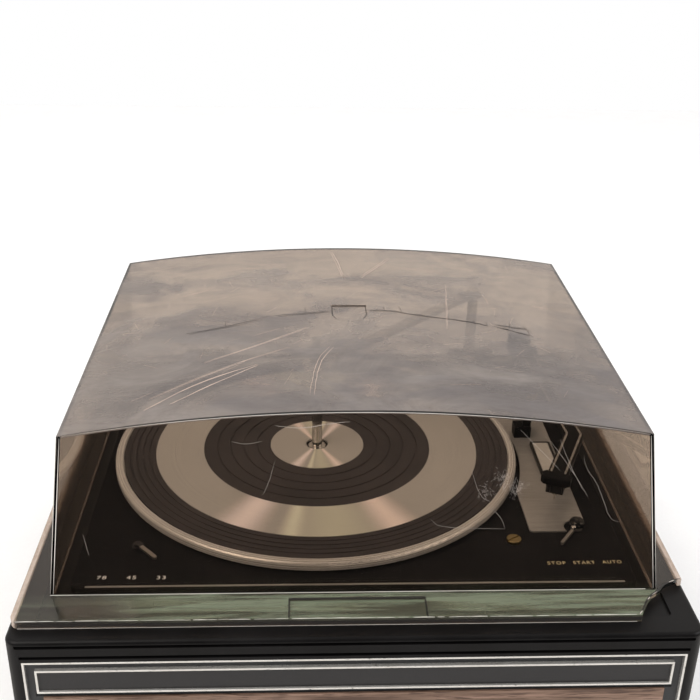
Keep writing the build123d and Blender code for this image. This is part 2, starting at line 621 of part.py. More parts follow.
def side_plate():
    plate = block(plate_x0, plate_x1, plate_y0, plate_y1, deck_top, deck_top + plate_t)
    plate = fillet(plate.edges().filter_by(Axis.Z), 2.0)
    plate -= rod(platter_r + rear_rim_gap, 100, 200, px, py)
    plate -= rod(knob_r + notch_gap, 100, 200, control_x, control_y)
    plate -= rod(lift_r + 0.6, 100, 200, lift_x, lift_y)
    return plate.solids().sort_by(SortBy.VOLUME)[-1]


def side_pad():
    pad = block(pad_x0, plate_x1 - 2.0, pad_y0, pad_y1, deck_top + plate_t,
                deck_top + plate_t + pad_h)
    pad = fillet(pad.edges().filter_by(Axis.Z), 1.5)
    top = deck_top + plate_t + pad_h
    pad -= block(pad_x0 + pad_rim, plate_x1 - 2.0 - pad_rim, pad_y0 + pad_rim, pad_y1 - pad_rim,
                 top - pad_deep, top + 1)
    return pad


def main_bearing():
    """Fixed tube with a flange, which carries the platter and takes the spindle."""
    body = rod(tube_r, tube_bottom, tube_top, px, py)
    body += rod(bearing_flange_r, well_floor, well_floor + bearing_flange_t, px, py)
    body += rod(bearing_flange_r - 2, well_floor - sheet - 3, well_floor - sheet, px, py)
    body -= tube(tube_r + 1, tube_r - 0.5, hub_top + running, hub_top + running + clip_t + 0.1,
                 px, py)
    body -= rod(spindle_r + screw_clear, 90, 200, px, py)
    return body


def thrust_cage():
    z0 = well_floor + bearing_flange_t
    mid = (z0 + hub_bottom) / 2
    cage = tube(tube_r + 4.9, tube_r + 0.4, mid - 0.5, mid + 0.5, px, py)
    for x, y in ball_places():
        cage -= rod(ball_r + 0.08, mid - 2, mid + 2, x, y)
    return cage


def ball_places():
    ring = tube_r + 2.6
    return [(px + ring * cos(2 * pi * k / 8), py + ring * sin(2 * pi * k / 8)) for k in range(8)]


def thrust_balls():
    mid = (well_floor + bearing_flange_t + hub_bottom) / 2
    return Compound(children=[(at(x, y, mid) * Sphere(ball_r)).solids()[0]
                              for x, y in ball_places()])


def hub_clip():
    z0 = hub_top + running
    clip = tube(hub_boss_r, tube_r - 0.45, z0, z0 + clip_t, px, py)
    clip -= block(px - 2.2, px + 2.2, py - hub_boss_r - 1, py, z0 - 1, z0 + 3)
    return clip


def platter():
    """Pressed turntable: web, rolled rim, inner drive skirt and hub."""
    web_low = platter_web_top - platter_web_t
    half = platter_r - rim_w
    outline = make_face(
        Polyline((hub_r, hub_bottom), (hub_r, web_low), (drive_r, web_low),
                 (drive_r, drive_bottom), (drive_r + drive_t, drive_bottom),
                 (drive_r + drive_t, web_low), (half, web_low), (half + 1.2, rim_bottom),
                 (platter_r - 1.6, rim_bottom), (platter_r, rim_bottom + 1.6),
                 (platter_r, rim_top - 2.6))
        + TangentArc((platter_r, rim_top - 2.6), (platter_r - 2.6, rim_top), tangent=(0, 1))
        + Polyline((platter_r - 2.6, rim_top), (half + 1.0, rim_top), (half, rim_top - 1.0),
                   (half, platter_web_top), (hub_boss_r, platter_web_top),
                   (hub_boss_r, hub_top), (tube_r + running, hub_top),
                   (tube_r + running, hub_bottom), (hub_r, hub_bottom)))
    body = revolve(Plane.XZ * outline, Axis.Z)
    return at(px, py) * body


def hub_pinion():
    wheel = gear(pinion_n, gear_z, gear_z + gear_h, 0, 0)
    wheel -= rod(hub_r, 0, 400)
    return at(px, py) * Rot(0, 0, gear_angle) * wheel


def gear(n, z0, z1, missing, shift):
    """Spur gear about the origin. shift turns it by that share of a tooth, missing leaves teeth
    out around the -X side."""
    press = radians(20)
    rb = gear_m * n * cos(press) / 2
    root, tip = gear_m * (n / 2 - 1.25), gear_m * (n / 2 + 1)
    half = pi / (2 * n) - backlash / (gear_m * n)

    def flank(r):
        a = acos(min(1.0, rb / r))
        return half + (tan(press) - press) - (tan(a) - a)

    start = max(rb, root)
    radii = [start + (tip - start) * k / 4 for k in range(5)]
    side = [(r * cos(flank(r)), r * sin(flank(r))) for r in radii]
    foot = (root * 0.96 * cos(flank(start)), root * 0.96 * sin(flank(start)))
    other = [(x, -y) for x, y in side]
    tooth = extrude(make_face(Polyline(foot, *side, *reversed(other), (foot[0], -foot[1]), foot)),
                    z1 - z0)
    wheel = rod(root, z0, z1)
    teeth = []
    for k in range(n):
        a = (k + shift) * 360 / n
        away = abs((a + 180) % 360 - 180)
        if missing and 180 - away < missing * 180 / n:
            continue
        teeth.append(Pos(0, 0, z0) * Rot(0, 0, a) * tooth)
    return wheel.fuse(*teeth)


def cam_gear():
    """Cycle gear, with its gap of missing teeth at the hub and a cam groove on top."""
    wheel = gear(gear_n, gear_z, gear_z + gear_h, gear_missing, 0.5)
    for k in range(5):
        a = radians(72 * k + 36)
        wheel -= rod(6.5, 0, 400, 19.5 * cos(a), 19.5 * sin(a))
    wheel -= tube(33.5, 30.5, gear_z + gear_h - 1.6, 400)
    wheel += rod(6.5, gear_z, gear_z + gear_h + 1.5)
    wheel -= rod(cam_stud_r + running, 0, 400)
    return at(gear_x, gear_y) * Rot(0, 0, gear_angle) * wheel


def cam_stud():
    stud = rod(cam_stud_r, well_floor - sheet - 1.5, gear_z + gear_h + 2.4, gear_x, gear_y)
    stud += rod(5.5, well_floor, gear_z - 0.3, gear_x, gear_y)
    stud += rod(5.0, well_floor - sheet - 1.5, well_floor - sheet, gear_x, gear_y)
    z0 = gear_z + gear_h + 1.5 + 0.2
    stud += rod(4.6, z0, z0 + 0.7, gear_x, gear_y)
    return stud


def platter_mat():
    mat = tube(mat_r, disc_hole_r, platter_web_top, platter_web_top + mat_t, px, py)
    top = platter_web_top + mat_t
    mat -= tube(ring_r, ring_inner_r, top - inlay_t, top + 1, px, py)
    mat -= rod(disc_r, top - inlay_t, top + 1, px, py)
    for k in range(rib_n):
        for r0, r1 in ((disc_r, ring_inner_r), (ring_r, mat_r)):
            r = r0 + (r1 - r0) * (k + 1) / (rib_n + 1)
            mat -= tube(r + rib_w / 2, r - rib_w / 2, top - rib_deep, top + 1, px, py)
    return mat


def mat_ring():
    top = platter_web_top + mat_t
    return tube(ring_r - 0.1, ring_inner_r + 0.1, top - inlay_t, top + 0.2, px, py)


def centre_disc():
    top = platter_web_top + mat_t
    return tube(disc_r - 0.1, disc_hole_r, top - inlay_t, top + 0.2, px, py)


def centre_spindle():
    """Record spindle: a thick lower part with a shelf, and a slim stem set to one side."""
    body = rod(spindle_r, spindle_bottom, shelf_z, px, py)
    stem = rod(stem_r, shelf_z, spindle_top, px - stem_shift, py)
    stem = fillet(stem.edges().group_by(Axis.Z)[-1], 1.6)
    body += stem
    body += rod(spindle_r + 1.4, spindle_bottom, tube_bottom - 0.4, px, py)
    body -= block(px - pusher_back - pusher_travel - slack, px + 9, py - pusher_t / 2 - 0.1,
                  py + pusher_t / 2 + 0.1, pusher_low - 0.3, pusher_high + 0.3)
    return body


def spindle_pusher():
    """Blade in the spindle that pushes the lowest record off the shelf."""
    return block(px - pusher_back, px + pusher_reach, py - pusher_t / 2, py + pusher_t / 2,
                 pusher_low, pusher_high)


def motor_stator():
    x, y = motor_x, motor_y
    stack = block(x - motor_w / 2, x + motor_w / 2, y - motor_d / 2, y + motor_d / 2, stack_z,
                  stack_z + stack_h)
    stack = chamfer(stack.edges().filter_by(Axis.Z), 3)
    stack -= rod(rotor_r + rotor_gap, 0, 400, x, y)
    for sx in (-1, 1):
        stack -= block(x + sx * slit_x - slit_half_w, x + sx * slit_x + slit_half_w,
                       y - slit_half_l, y + slit_half_l, 0, 400)
    for dx, dy in bolt_places():
        stack -= rod(bolt_r + screw_clear, 0, 400, x + dx, y + dy)
    return stack


def bolt_places():
    return [(sx * bolt_x, sy * bolt_y) for sx in (-1, 1) for sy in (-1, 1)]


def motor_coils():
    """Windings on the two outer limbs of the stator."""
    z0, z1 = stack_z - winding_h, stack_z + stack_h + winding_h
    made = []
    for sx in (-1, 1):
        near, far = motor_x + sx * (window_x + 0.1), motor_x + sx * (limb_x + winding_out)
        limb0, limb1 = motor_x + sx * (window_x + winding_in), motor_x + sx * limb_x
        winding = block(min(near, far), max(near, far), motor_y - winding_half,
                        motor_y + winding_half, z0, z1)
        winding = fillet(winding.edges().filter_by(Axis.Y), 2.2)
        winding -= block(min(limb0, limb1), max(limb0, limb1), motor_y - 30, motor_y + 30,
                         stack_z, stack_z + stack_h)
        made.append(winding.solids().sort_by(SortBy.VOLUME)[-1])
    return Compound(children=made)


def motor_brackets():
    """Upper and lower bearing plates of the motor; the upper one has three ears."""
    x, y = motor_x, motor_y
    upper = block(x - plate_half_w, x + plate_half_w, y - plate_half_l, y + plate_half_l,
                  bracket_top_z, bracket_top_z + bracket_t)
    for ex, ey in mounts_xy:
        upper += bar(x, y, ex, ey, ear_w, bracket_top_z, bracket_top_z + bracket_t)
    upper += rod(5, bracket_top_z - 4, bracket_top_z, x, y)
    for ex, ey in mounts_xy:
        upper -= rod(screw_r + screw_clear, 0, 400, ex, ey)
    lower = block(x - plate_half_w, x + plate_half_w, y - plate_half_l, y + plate_half_l,
                  bracket_low_z, bracket_low_z + bracket_t)
    lower += rod(5, bracket_low_z, bracket_low_z + bracket_t + 3.2, x, y)
    made = []
    for plate, inner, outer in ((upper, stack_z + stack_h, bracket_top_z),
                                (lower, bracket_low_z + bracket_t, stack_z)):
        for dx, dy in bolt_places():
            plate += rod(bolt_r + 1.6, inner, outer, x + dx, y + dy)
            plate -= rod(bolt_r + screw_clear, 0, 400, x + dx, y + dy)
        plate -= rod(shaft_r + running, 0, 400, x, y)
        made.append(plate.solids()[0])
    return Compound(children=made)


def motor_bolts():
    z1 = bracket_top_z + bracket_t
    made = []
    for dx, dy in bolt_places():
        x, y = motor_x + dx, motor_y + dy
        bolt = rod(bolt_r, bracket_low_z - 3.0, z1, x, y) + rod(3.0, z1, z1 + 1.8, x, y)
        bolt += at(x, y, bracket_low_z - 2.2) * extrude(RegularPolygon(3.2, 6), 2.2)
        made.append(bolt.solids()[0])
    return Compound(children=made)


def motor_grommets():
    """Rubber mounts between the motor's ears and the well, with a neck through the well."""
    made = []
    for x, y in mounts_xy:
        mount = rod(grommet_r, bracket_top_z + bracket_t, well_floor - sheet, x, y)
        mount -= tube(grommet_r + 1, grommet_r - 1.2, well_floor - sheet - 4.6,
                      well_floor - sheet - 2.8, x, y)
        mount += rod(grommet_neck_r, well_floor - sheet, well_floor, x, y)
        mount -= rod(screw_r + screw_clear, 0, 400, x, y)
        made.append(mount.solids()[0])
    return Compound(children=made)


def motor_screws():
    made = []
    for x, y in mounts_xy:
        screw = rod(4.2, well_floor, well_floor + mount_head_h, x, y)
        screw += rod(screw_r, bracket_top_z - 2.8, well_floor, x, y)
        screw += at(x, y, bracket_top_z - 2.2) * extrude(RegularPolygon(3.2, 6), 2.2)
        screw -= at(x, y, well_floor + mount_head_h) * Box(10, 0.9, 1.0)
        made.append(screw.solids()[0])
    return Compound(children=made)


def rotor():
    x, y = motor_x, motor_y
    body = rod(rotor_r, stack_z + 0.5, stack_z + stack_h - 0.5, x, y)
    body += rod(shaft_r, bracket_low_z - 1.0, pulley_top, x, y)
    return body


def motor_pulley():
    """Stepped pulley: the thickest step is at the bottom."""
    x, y = motor_x, motor_y
    low, mid = idler_z - 2 * step_h + 1.8, idler_z - step_h + 1.8
    pulley = rod(pulley_r[2], pulley_bottom, low, x, y)
    pulley += rod(pulley_r[1], low, mid, x, y)
    pulley += rod(pulley_r[0], mid, pulley_top, x, y)
    pulley -= rod(shaft_r, 0, 400, x, y)
    return pulley


def idler_post():
    """Fixed post on the well that the idler bracket slides on."""
    post = rod(2.5, well_floor - sheet - 1.5, post_z, pivot_x, pivot_y)
    post += rod(5, well_floor - sheet - 1.5, well_floor - sheet, pivot_x, pivot_y)
    return post


def idler_sleeve():
    """Sleeve that rises and falls on the post with the speed."""
    z0 = well_floor + 2 * step_h + slack
    sleeve = rod(6, z0, z0 + 1.0, pivot_x, pivot_y) + rod(4, z0, post_z - 0.2, pivot_x, pivot_y)
    sleeve -= rod(2.5 + running, 0, 400, pivot_x, pivot_y)
    return sleeve


def idler_arm():
    z0 = well_floor + 2 * step_h + slack + 1.0 + running
    z1 = idler_z + tyre_w / 2 + 1.4
    arm = rod(6, z0, z1, pivot_x, pivot_y)
    arm += bar(pivot_x, pivot_y, idler_x, idler_y, 7, z1 - 1.0, z1)
    arm += rod(shaft_r, idler_z - 3.4, z1, idler_x, idler_y)
    arm -= rod(4 + running, 0, 400, pivot_x, pivot_y)
    arm += rod(2.6, idler_z - 3.4, idler_z - 2.9, idler_x, idler_y)
    return arm


def idler_wheel():
    wheel = rod(idler_r - tyre_t, idler_z - tyre_w / 2, idler_z + tyre_w / 2)
    wheel -= tube(idler_r - tyre_t - 2.4, 5.5, idler_z + 0.5, 400)
    wheel -= tube(idler_r - tyre_t - 2.4, 5.5, 0, idler_z - 0.5)
    for k in range(3):
        a = 2 * pi * k / 3
        wheel -= rod(2.4, 0, 400, 10.5 * cos(a), 10.5 * sin(a))
    wheel += rod(4, idler_z - 2.8, idler_z + tyre_w / 2 + 0.2)
    wheel -= rod(shaft_r + running, 0, 400)
    return at(idler_x, idler_y) * wheel


def idler_tyre():
    return tube(idler_r, idler_r - tyre_t, idler_z - tyre_w / 2, idler_z + tyre_w / 2, idler_x,
                idler_y)


def lever(x, y, angle, length, w):
    """Lever above the deck on a shaft that goes through it, with a crank below."""
    a = radians(angle)
    tip_x, tip_y = x + length * sin(a), y - length * cos(a)
    body = bar(x, y, tip_x, tip_y, w, lever_z, lever_z + lever_t)
    body += rod(lever_shaft_r, crank_z, lever_z + lever_t, x, y)
    body += rod(lever_shaft_r + 1.2, deck_top + 0.2, lever_z, x, y)
    body += bar(x, y, x - crank_l * cos(a), y - crank_l * sin(a), 6, crank_z, crank_z + 1.6)
    body += rod(1.5, crank_z - 4, crank_z, x - crank_l * cos(a), y - crank_l * sin(a))
    return body


def speed_lever():
    return lever(speed_x, speed_y, speed_a, speed_l, speed_w)


def control_lever():
    return lever(control_x, control_y, control_a, control_l, control_w)


def control_knob():
    z0 = lever_z + lever_t
    knob = rod(knob_r, z0, z0 + knob_h, control_x, control_y)
    return fillet(knob.edges().group_by(Axis.Z)[-1], knob_round)


def shaft_bushes():
    """Flanged collars under the deck that hold the two lever shafts."""
    made = []
    for x, y in ((speed_x, speed_y), (control_x, control_y)):
        bush = tube(lever_shaft_r + lever_bush_w, lever_shaft_r + running,
                    deck_top - sheet - lever_bush_h, deck_top - sheet, x, y)
        made.append(bush.solids()[0])
    return Compound(children=made)


def power_switch():
    """Switch under the deck beside the control lever."""
    x, y = control_x + switch_dx, control_y + switch_dy
    under = deck_top - sheet
    case = block(x - switch_w / 2, x + switch_w / 2, y - switch_l / 2, y + switch_l / 2,
                 under - switch_h, under)
    case -= block(x - 3.3, x + 3.3, y - switch_l / 2 - 1, y + switch_l / 2 - 4,
                  under - switch_h - 1, under - switch_h + 5.3)
    return case


def switch_slider():
    x, y = control_x + switch_dx, control_y + switch_dy
    low = deck_top - sheet - switch_h
    y0 = y - switch_l / 2
    slider = block(x - 3, x + 3, y0, y0 + 12, low + 0.3, low + 5)
    slider += block(x - 2, x + 2, y0 + 1, y0 + 5, low - 4, low + 1)
    return slider


def tonearm_base():
    base = rod(base_r, deck_top, deck_top + base_t, arm_x, arm_y)
    base = fillet(base.edges().group_by(Axis.Z)[-1], 1.2)
    base += rod(collar_r, deck_top, yoke_z - slack, arm_x, arm_y)
    base += rod(arm_shaft_r + 1.0, deck_top - sheet - sleeve_h, deck_top, arm_x, arm_y)
    return base - rod(arm_shaft_r + running, 0, 400, arm_x, arm_y)


def across(s, n):
    """Point s along the main part of the arm from its pivot and n to its right."""
    return arm_x + ax * s - ay * n, arm_y + ay * s + ax * n


def tonearm_yoke():
    yoke = rod(arm_shaft_r, deck_top - yoke_drop, yoke_z + 2, arm_x, arm_y)
    yoke += bar(*across(0, -yoke_half), *across(0, yoke_half), yoke_plate_w, yoke_z,
                yoke_z + yoke_plate_t)
    for side in (-1, 1):
        mid = side * (arm_w / 2 + 0.5 + cheek_t / 2)
        x, y = across(0, mid)
        turn = degrees(atan2(ay, ax))
        cheek = Box(cheek_l, cheek_t, axle_z + cheek_over - yoke_z)
        yoke += at(x, y, (yoke_z + axle_z + cheek_over) / 2) * Rot(0, 0, turn) * cheek
    return yoke - axle(axle_r, 60)


def axle(r, length):
    turn = degrees(atan2(ay, ax))
    return at(arm_x, arm_y, axle_z) * Rot(0, 0, turn) * Rot(90, 0, 0) * Cylinder(r, length)


def arm_axle():
    return axle(axle_r, arm_w + 1 + 2 * cheek_t)


def arm_neck(z0, z1):
    return bar(kink_x, kink_y, *along_head(head_len - shell_l + 6, 0), arm_w, z0, z1)


def tonearm():
    """Flat arm with a bend towards the head, and its tail behind the pivot."""
    z0, z1 = arm_top - arm_h, arm_top
    tail = across(-weight_back - weight_l + 2, 0)
    arm = bar(*tail, kink_x, kink_y, arm_w, z0, z1) + arm_neck(z0, z1)
    arm = fillet(arm.edges().group_by(Axis.Z)[-1], 0.8)
    return arm - axle(axle_r + running, 60)


def along_head(s, n):
    return kink_x + hx * s - hy * n, kink_y + hy * s + hx * n


def headshell():
    """Wide finger-lift end of the arm, open below for the cartridge."""
    s0, s1 = head_len - shell_l + 6, head_len + 3
    w = head_w / 2
    outline = [along_head(s0, -arm_w / 2 - 1), along_head(s0, arm_w / 2 + 1),
               along_head(s0 + 2, w), along_head(s1 - 2.5, w), along_head(s1, w - 2.5),
               along_head(s1, -w + 2.5), along_head(s1 - 2.5, -w), along_head(s0 + 2, -w)]
    shell = at(0, 0, arm_top - arm_h) * extrude(make_face(Polyline(*outline, outline[0])),
                                                arm_h + 0.4)
    shell = fillet(shell.edges().group_by(Axis.Z)[-1], 1.2)
    return shell - arm_neck(0, 400)


def head_block(s0, s1, n0, n1, z0, z1):
    x, y = along_head((s0 + s1) / 2, (n0 + n1) / 2)
    turn = degrees(atan2(hy, hx))
    return at(x, y, (z0 + z1) / 2) * Rot(0, 0, turn) * Box(s1 - s0, n1 - n0, z1 - z0)


def cartridge():
    under = arm_top - arm_h
    s1 = head_len + 1
    body = head_block(s1 - 17, s1, -5.5, 5.5, under - 7, under)
    body += head_block(s1 - 20, s1 - 14, -3.5, 3.5, under - 5.5, under)
    body += head_block(s1 - 0.5, s1 + 3.0, 2.4, 4.8, under - 5, under - 1)
    body += head_block(s1 - 0.5, s1 + 3.0, -4.8, -2.4, under - 5, under - 1)
    return body


def stylus():
    under = arm_top - arm_h - 7
    s1 = head_len + 1
    arm = head_block(s1 - 15, s1 - 1, -1.4, 1.4, under - 1.4, under)
    x, y = along_head(s1 - 3, 0)
    tip = under - 1.4 - stylus_z
    return arm + at(x, y, stylus_z + tip / 2) * Cone(0.25, 0.9, tip)


def counterweight():
    z0, z1 = arm_top - arm_h - 5, arm_top + 3
    xa, ya = across(-weight_back - weight_l / 2, 0)
    turn = degrees(atan2(ay, ax))
    weight = at(xa, ya, (z0 + z1) / 2) * Rot(0, 0, turn) * Box(weight_l, weight_w, z1 - z0)
    weight = fillet(weight.edges().filter_by(Axis.Z), 2.0)
    return weight - tonearm()


def arm_rest():
    """Block on the bright plate with a cradle that reaches under the arm."""
    y = rest_y
    arm_cx = arm_x + ax * (y - arm_y) / ay
    z0 = deck_top + plate_t
    rest = block(rest_x0, rest_x1, y - 5, y + 5, z0, z0 + 9)
    rest += block(rest_x1 - 4, arm_cx + arm_w / 2 + 3.5, y - 3, y + 3, arm_top - arm_h - 4.3,
                  arm_top - arm_h - 0.3)
    rest += block(rest_x1 - 6, rest_x1, y - 3, y + 3, z0, arm_top - arm_h - 0.3)
    rest += block(arm_cx + arm_w / 2 + 0.6, arm_cx + arm_w / 2 + 3.5, y - 3, y + 3,
                  arm_top - arm_h - 4.3, arm_top + 1)
    return rest


def lift_rail():
    """Pin that raises the arm, with a curved rail that stays under it as it swings."""
    z1 = arm_top - arm_h - rail_gap
    rail = tube(lift_back + rail_w / 2, lift_back - rail_w / 2, z1 - 2, z1, arm_x, arm_y)
    start = degrees(atan2(ay, ax)) + 6
    wedge = make_face(Polyline((0, 0), (90, 0), (90 * cos(radians(rail_sweep + 8)),
                                                 -90 * sin(radians(rail_sweep + 8))), (0, 0)))
    rail &= at(arm_x, arm_y, z1 - 4) * Rot(0, 0, start) * extrude(wedge, 8)
    return rail + rod(lift_r, deck_top - lift_drop, z1 - 1, lift_x, lift_y)


def lift_guide():
    guide = rod(lift_r + lift_flange_w, deck_top, deck_top + lift_flange_t, lift_x, lift_y)
    guide += rod(lift_r + 0.6, deck_top - sheet - lift_bush_drop, deck_top, lift_x, lift_y)
    return guide - rod(lift_r + running, 0, 400, lift_x, lift_y)


def post_bush():
    bush = rod(post_bush_r + bush_flange_w, deck_top, deck_top + bush_flange_t, post_x, post_y)
    bush += rod(post_bush_r, deck_top, deck_top + bush_h, post_x, post_y)
    bush += rod(post_r + 0.9, deck_top - sheet - bush_drop, deck_top, post_x, post_y)
    return bush - rod(post_r + running, 0, 400, post_x, post_y)


def overarm_post():
    post = rod(post_r, deck_top - post_drop, over_z - running, post_x, post_y)
    post += rod(post_r - 1.2, over_z - 1, over_z + over_h + 1.2, post_x, post_y)
    cap = rod(post_r, over_z + over_h + 0.2, over_z + over_h + 2.4, post_x, post_y)
    post += fillet(cap.edges().group_by(Axis.Z)[-1], 1.0)
    return post


def overarm():
    """Arm that steadies the stack, with an open fork round the spindle."""
    reach = hypot(px - post_x, py - post_y)
    turn = degrees(atan2(py - post_y, px - post_x))
    arm = Pos(reach / 2, 0, 0) * Box(reach, over_w, over_h)
    arm += Cylinder(post_r + 2.6, over_h) + Pos(reach, 0, 0) * Cylinder(fork_r, over_h)
    notch = Pos(reach, 0, 0) * Cylinder(spindle_r + fork_gap, 20)
    notch += Pos(reach, 15, 0) * Box(2 * (spindle_r + fork_gap), 30, 20)
    arm -= notch
    arm -= Cylinder(post_r - 1.2 + running, 20)
    return at(post_x, post_y, over_z + over_h / 2) * Rot(0, 0, turn) * arm


def both(*shapes):
    """Group of separate solids."""
    return Compound(children=[s for shape in shapes for s in shape.solids()])


pieces = {
    "plinth_shell": plinth_shell(),
    "base_board": base_board(),
    "rubber_feet": rubber_feet(),
    "case_screws": both(case_screws(), panel_screws()),
    "fascia_frame": fascia_frame(),
    "fascia_trims": both(outer_trim(), inner_trim()),
    "dial_window": dial_window(),
    "wood_panel": wood_panel(),
    "rear_panel": rear_panel(),
    "phono_sockets": phono_sockets(),
    "mains_gland": mains_gland(),
    "lid": lid(),
    "hinge_fixed_leaves": hinge_fixed(),
    "hinge_pins": hinge_pins(),
    "hinge_lid_leaves": hinge_lid_leaves(),
    "unit_plate": unit_plate(),
    "suspension_springs": suspension_springs(),
    "rubber_mounts": both(spring_seats(), motor_grommets()),
    "transit_screws": transit_screws(),
    "deck_trims": both(front_trim_strip(), side_plate()),
    "side_pad": side_pad(),
    "main_bearing": main_bearing(),
    "thrust_race": both(thrust_cage(), thrust_balls()),
    "hub_clip": hub_clip(),
    "platter": platter(),
    "hub_pinion": hub_pinion(),
    "cam_gear": cam_gear(),
    "well_posts": both(cam_stud(), idler_post()),
    "platter_mat": platter_mat(),
    "mat_inlays": both(mat_ring(), centre_disc()),
    "centre_spindle": centre_spindle(),
    "spindle_pusher": spindle_pusher(),
    "motor_stator": motor_stator(),
    "motor_coils": motor_coils(),
    "motor_brackets": motor_brackets(),
    "motor_screws": both(motor_bolts(), motor_screws()),
    "rotor": rotor(),
    "motor_pulley": motor_pulley(),
    "idler_sleeve": idler_sleeve(),
    "idler_arm": idler_arm(),
    "idler_wheel": idler_wheel(),
    "idler_tyre": idler_tyre(),
    "speed_lever": speed_lever(),
    "control_lever": control_lever(),
    "control_knob": control_knob(),
    "deck_bushes": both(shaft_bushes(), lift_guide(), post_bush()),
    "power_switch": power_switch(),
    "switch_slider": switch_slider(),
    "tonearm_base": tonearm_base(),
    "tonearm_yoke": tonearm_yoke(),
    "arm_axle": arm_axle(),
    "tonearm": tonearm(),
    "headshell": headshell(),
    "cartridge": cartridge(),
    "stylus": stylus(),
    "counterweight": counterweight(),
    "arm_rest": arm_rest(),
    "lift_rail": lift_rail(),
    "overarm_post": overarm_post(),
    "overarm": overarm(),
}

os.makedirs("parts", exist_ok=True)
for name, shape in pieces.items():
    export_step(shape, f"parts/{name}.step")
print(f"{len(pieces)} nodes written")
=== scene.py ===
"""Record changer under a smoked lid: finishes, fine detail, camera and studio.

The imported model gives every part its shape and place. Each sub-assembly here dresses its own
parts, and adds what is too thin or too fine for them: lettering, stripes, scratches, chips.
Lengths in the dataclasses are millimetres in the model's frame, with +X right, +Y back, +Z up.
"""

import logging
import math
import random
from dataclasses import dataclass
from enum import Enum
from typing import Any, Sequence

import bmesh
import bpy
from mathutils import Matrix, Vector


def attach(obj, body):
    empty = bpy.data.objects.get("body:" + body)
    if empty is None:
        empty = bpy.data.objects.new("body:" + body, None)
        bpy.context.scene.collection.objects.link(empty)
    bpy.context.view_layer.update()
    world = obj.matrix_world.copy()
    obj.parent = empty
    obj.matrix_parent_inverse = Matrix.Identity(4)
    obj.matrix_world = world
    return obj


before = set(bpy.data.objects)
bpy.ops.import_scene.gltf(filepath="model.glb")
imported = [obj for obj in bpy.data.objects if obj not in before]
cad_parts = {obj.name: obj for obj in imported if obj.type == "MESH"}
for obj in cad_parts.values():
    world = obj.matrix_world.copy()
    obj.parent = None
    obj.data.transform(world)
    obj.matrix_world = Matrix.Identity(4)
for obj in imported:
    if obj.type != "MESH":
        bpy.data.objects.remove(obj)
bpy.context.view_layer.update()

MM = 0.001
log = logging.getLogger("record_changer")
Point = tuple[float, float, float]
Line = tuple[tuple[float, float], ...]

SPINDLE: Point = (-21.5, 5.0, 0.0)   # axis of the platter
STRIP_H = 0.05                       # how far a scratch or a worn edge stands proud
INK_H = 0.06                         # thickness of printed ink
CAPITAL_SHARE = 0.7                  # height of a capital against the size of its type
LETTER_SPACE = 1.22                  # the words are printed a little wide


class Along(Enum):
    """Direction that a brushed or grained pattern runs in."""

    X = (0.02, 1.0, 1.0)
    Y = (1.0, 0.02, 1.0)
    Z = (1.0, 1.0, 0.02)
    RING = (1.0, 1.0, 1.0)


def linear(colour: str) -> tuple[float, float, float, float]:
    """Turn an sRGB hex colour into linear light.

    Args:
        colour: six hex digits, with or without a leading hash.

    Returns:
        Linear red, green and blue, and an alpha of 1.
    """
    digits = colour.lstrip("#")
    channels = [int(digits[i:i + 2], 16) / 255 for i in (0, 2, 4)]
    light = [c / 12.92 if c <= 0.04045 else ((c + 0.055) / 1.055) ** 2.4 for c in channels]
    return (light[0], light[1], light[2], 1.0)


def add_node(tree: bpy.types.NodeTree, kind: str, settings: dict[str, Any] | None = None,
             links: dict[str | int, Any] | None = None) -> bpy.types.Node:
    """Add a node with its settings and its links.

    Args:
        tree: node tree that takes the node.
        kind: type name of the node, without its ShaderNode prefix.
        settings: attributes of the node by name.
        links: inputs by name or index, each an output socket or a plain value.

    Returns:
        The new node.
    """
    node = tree.nodes.new("ShaderNode" + kind)
    for name, value in (settings or {}).items():
        setattr(node, name, value)
    for key, value in (links or {}).items():
        if isinstance(value, bpy.types.NodeSocket):
            tree.links.new(value, node.inputs[key])
        else:
            node.inputs[key].default_value = value
    return node


def new_material(name: str) -> tuple[bpy.types.Material, bpy.types.NodeTree]:
    """Make an empty node material.

    Args:
        name: name of the finish.

    Returns:
        The material and its node tree, which holds only an output.
    """
    material = bpy.data.materials.new(name)
    material.use_nodes = True
    tree = material.node_tree
    tree.nodes.clear()
    tree.nodes.new("ShaderNodeOutputMaterial")
    return material, tree


def out_surface(tree: bpy.types.NodeTree, shader: bpy.types.NodeSocket) -> None:
    """Link a shader to the tree's output."""
    tree.links.new(shader, tree.nodes["Material Output"].inputs["Surface"])


def place(tree: bpy.types.NodeTree, squeeze: Point = (1.0, 1.0, 1.0),
          centre: Point = (0.0, 0.0, 0.0)) -> bpy.types.NodeSocket:
    """Object coordinates in millimetres, moved to a centre and squeezed along an axis.

    Args:
        tree: node tree of the finish.
        squeeze: factor for each axis.
        centre: point in millimetres that becomes the pattern's own origin.

    Returns:
        The vector output.
    """
    coords = add_node(tree, "TexCoord")
    scale = tuple(s / MM for s in squeeze)
    shift = tuple(-c * s for c, s in zip(centre, squeeze))
    return add_node(tree, "Mapping", {}, {"Vector": coords.outputs["Object"], "Scale": scale,
                                          "Location": shift}).outputs["Vector"]


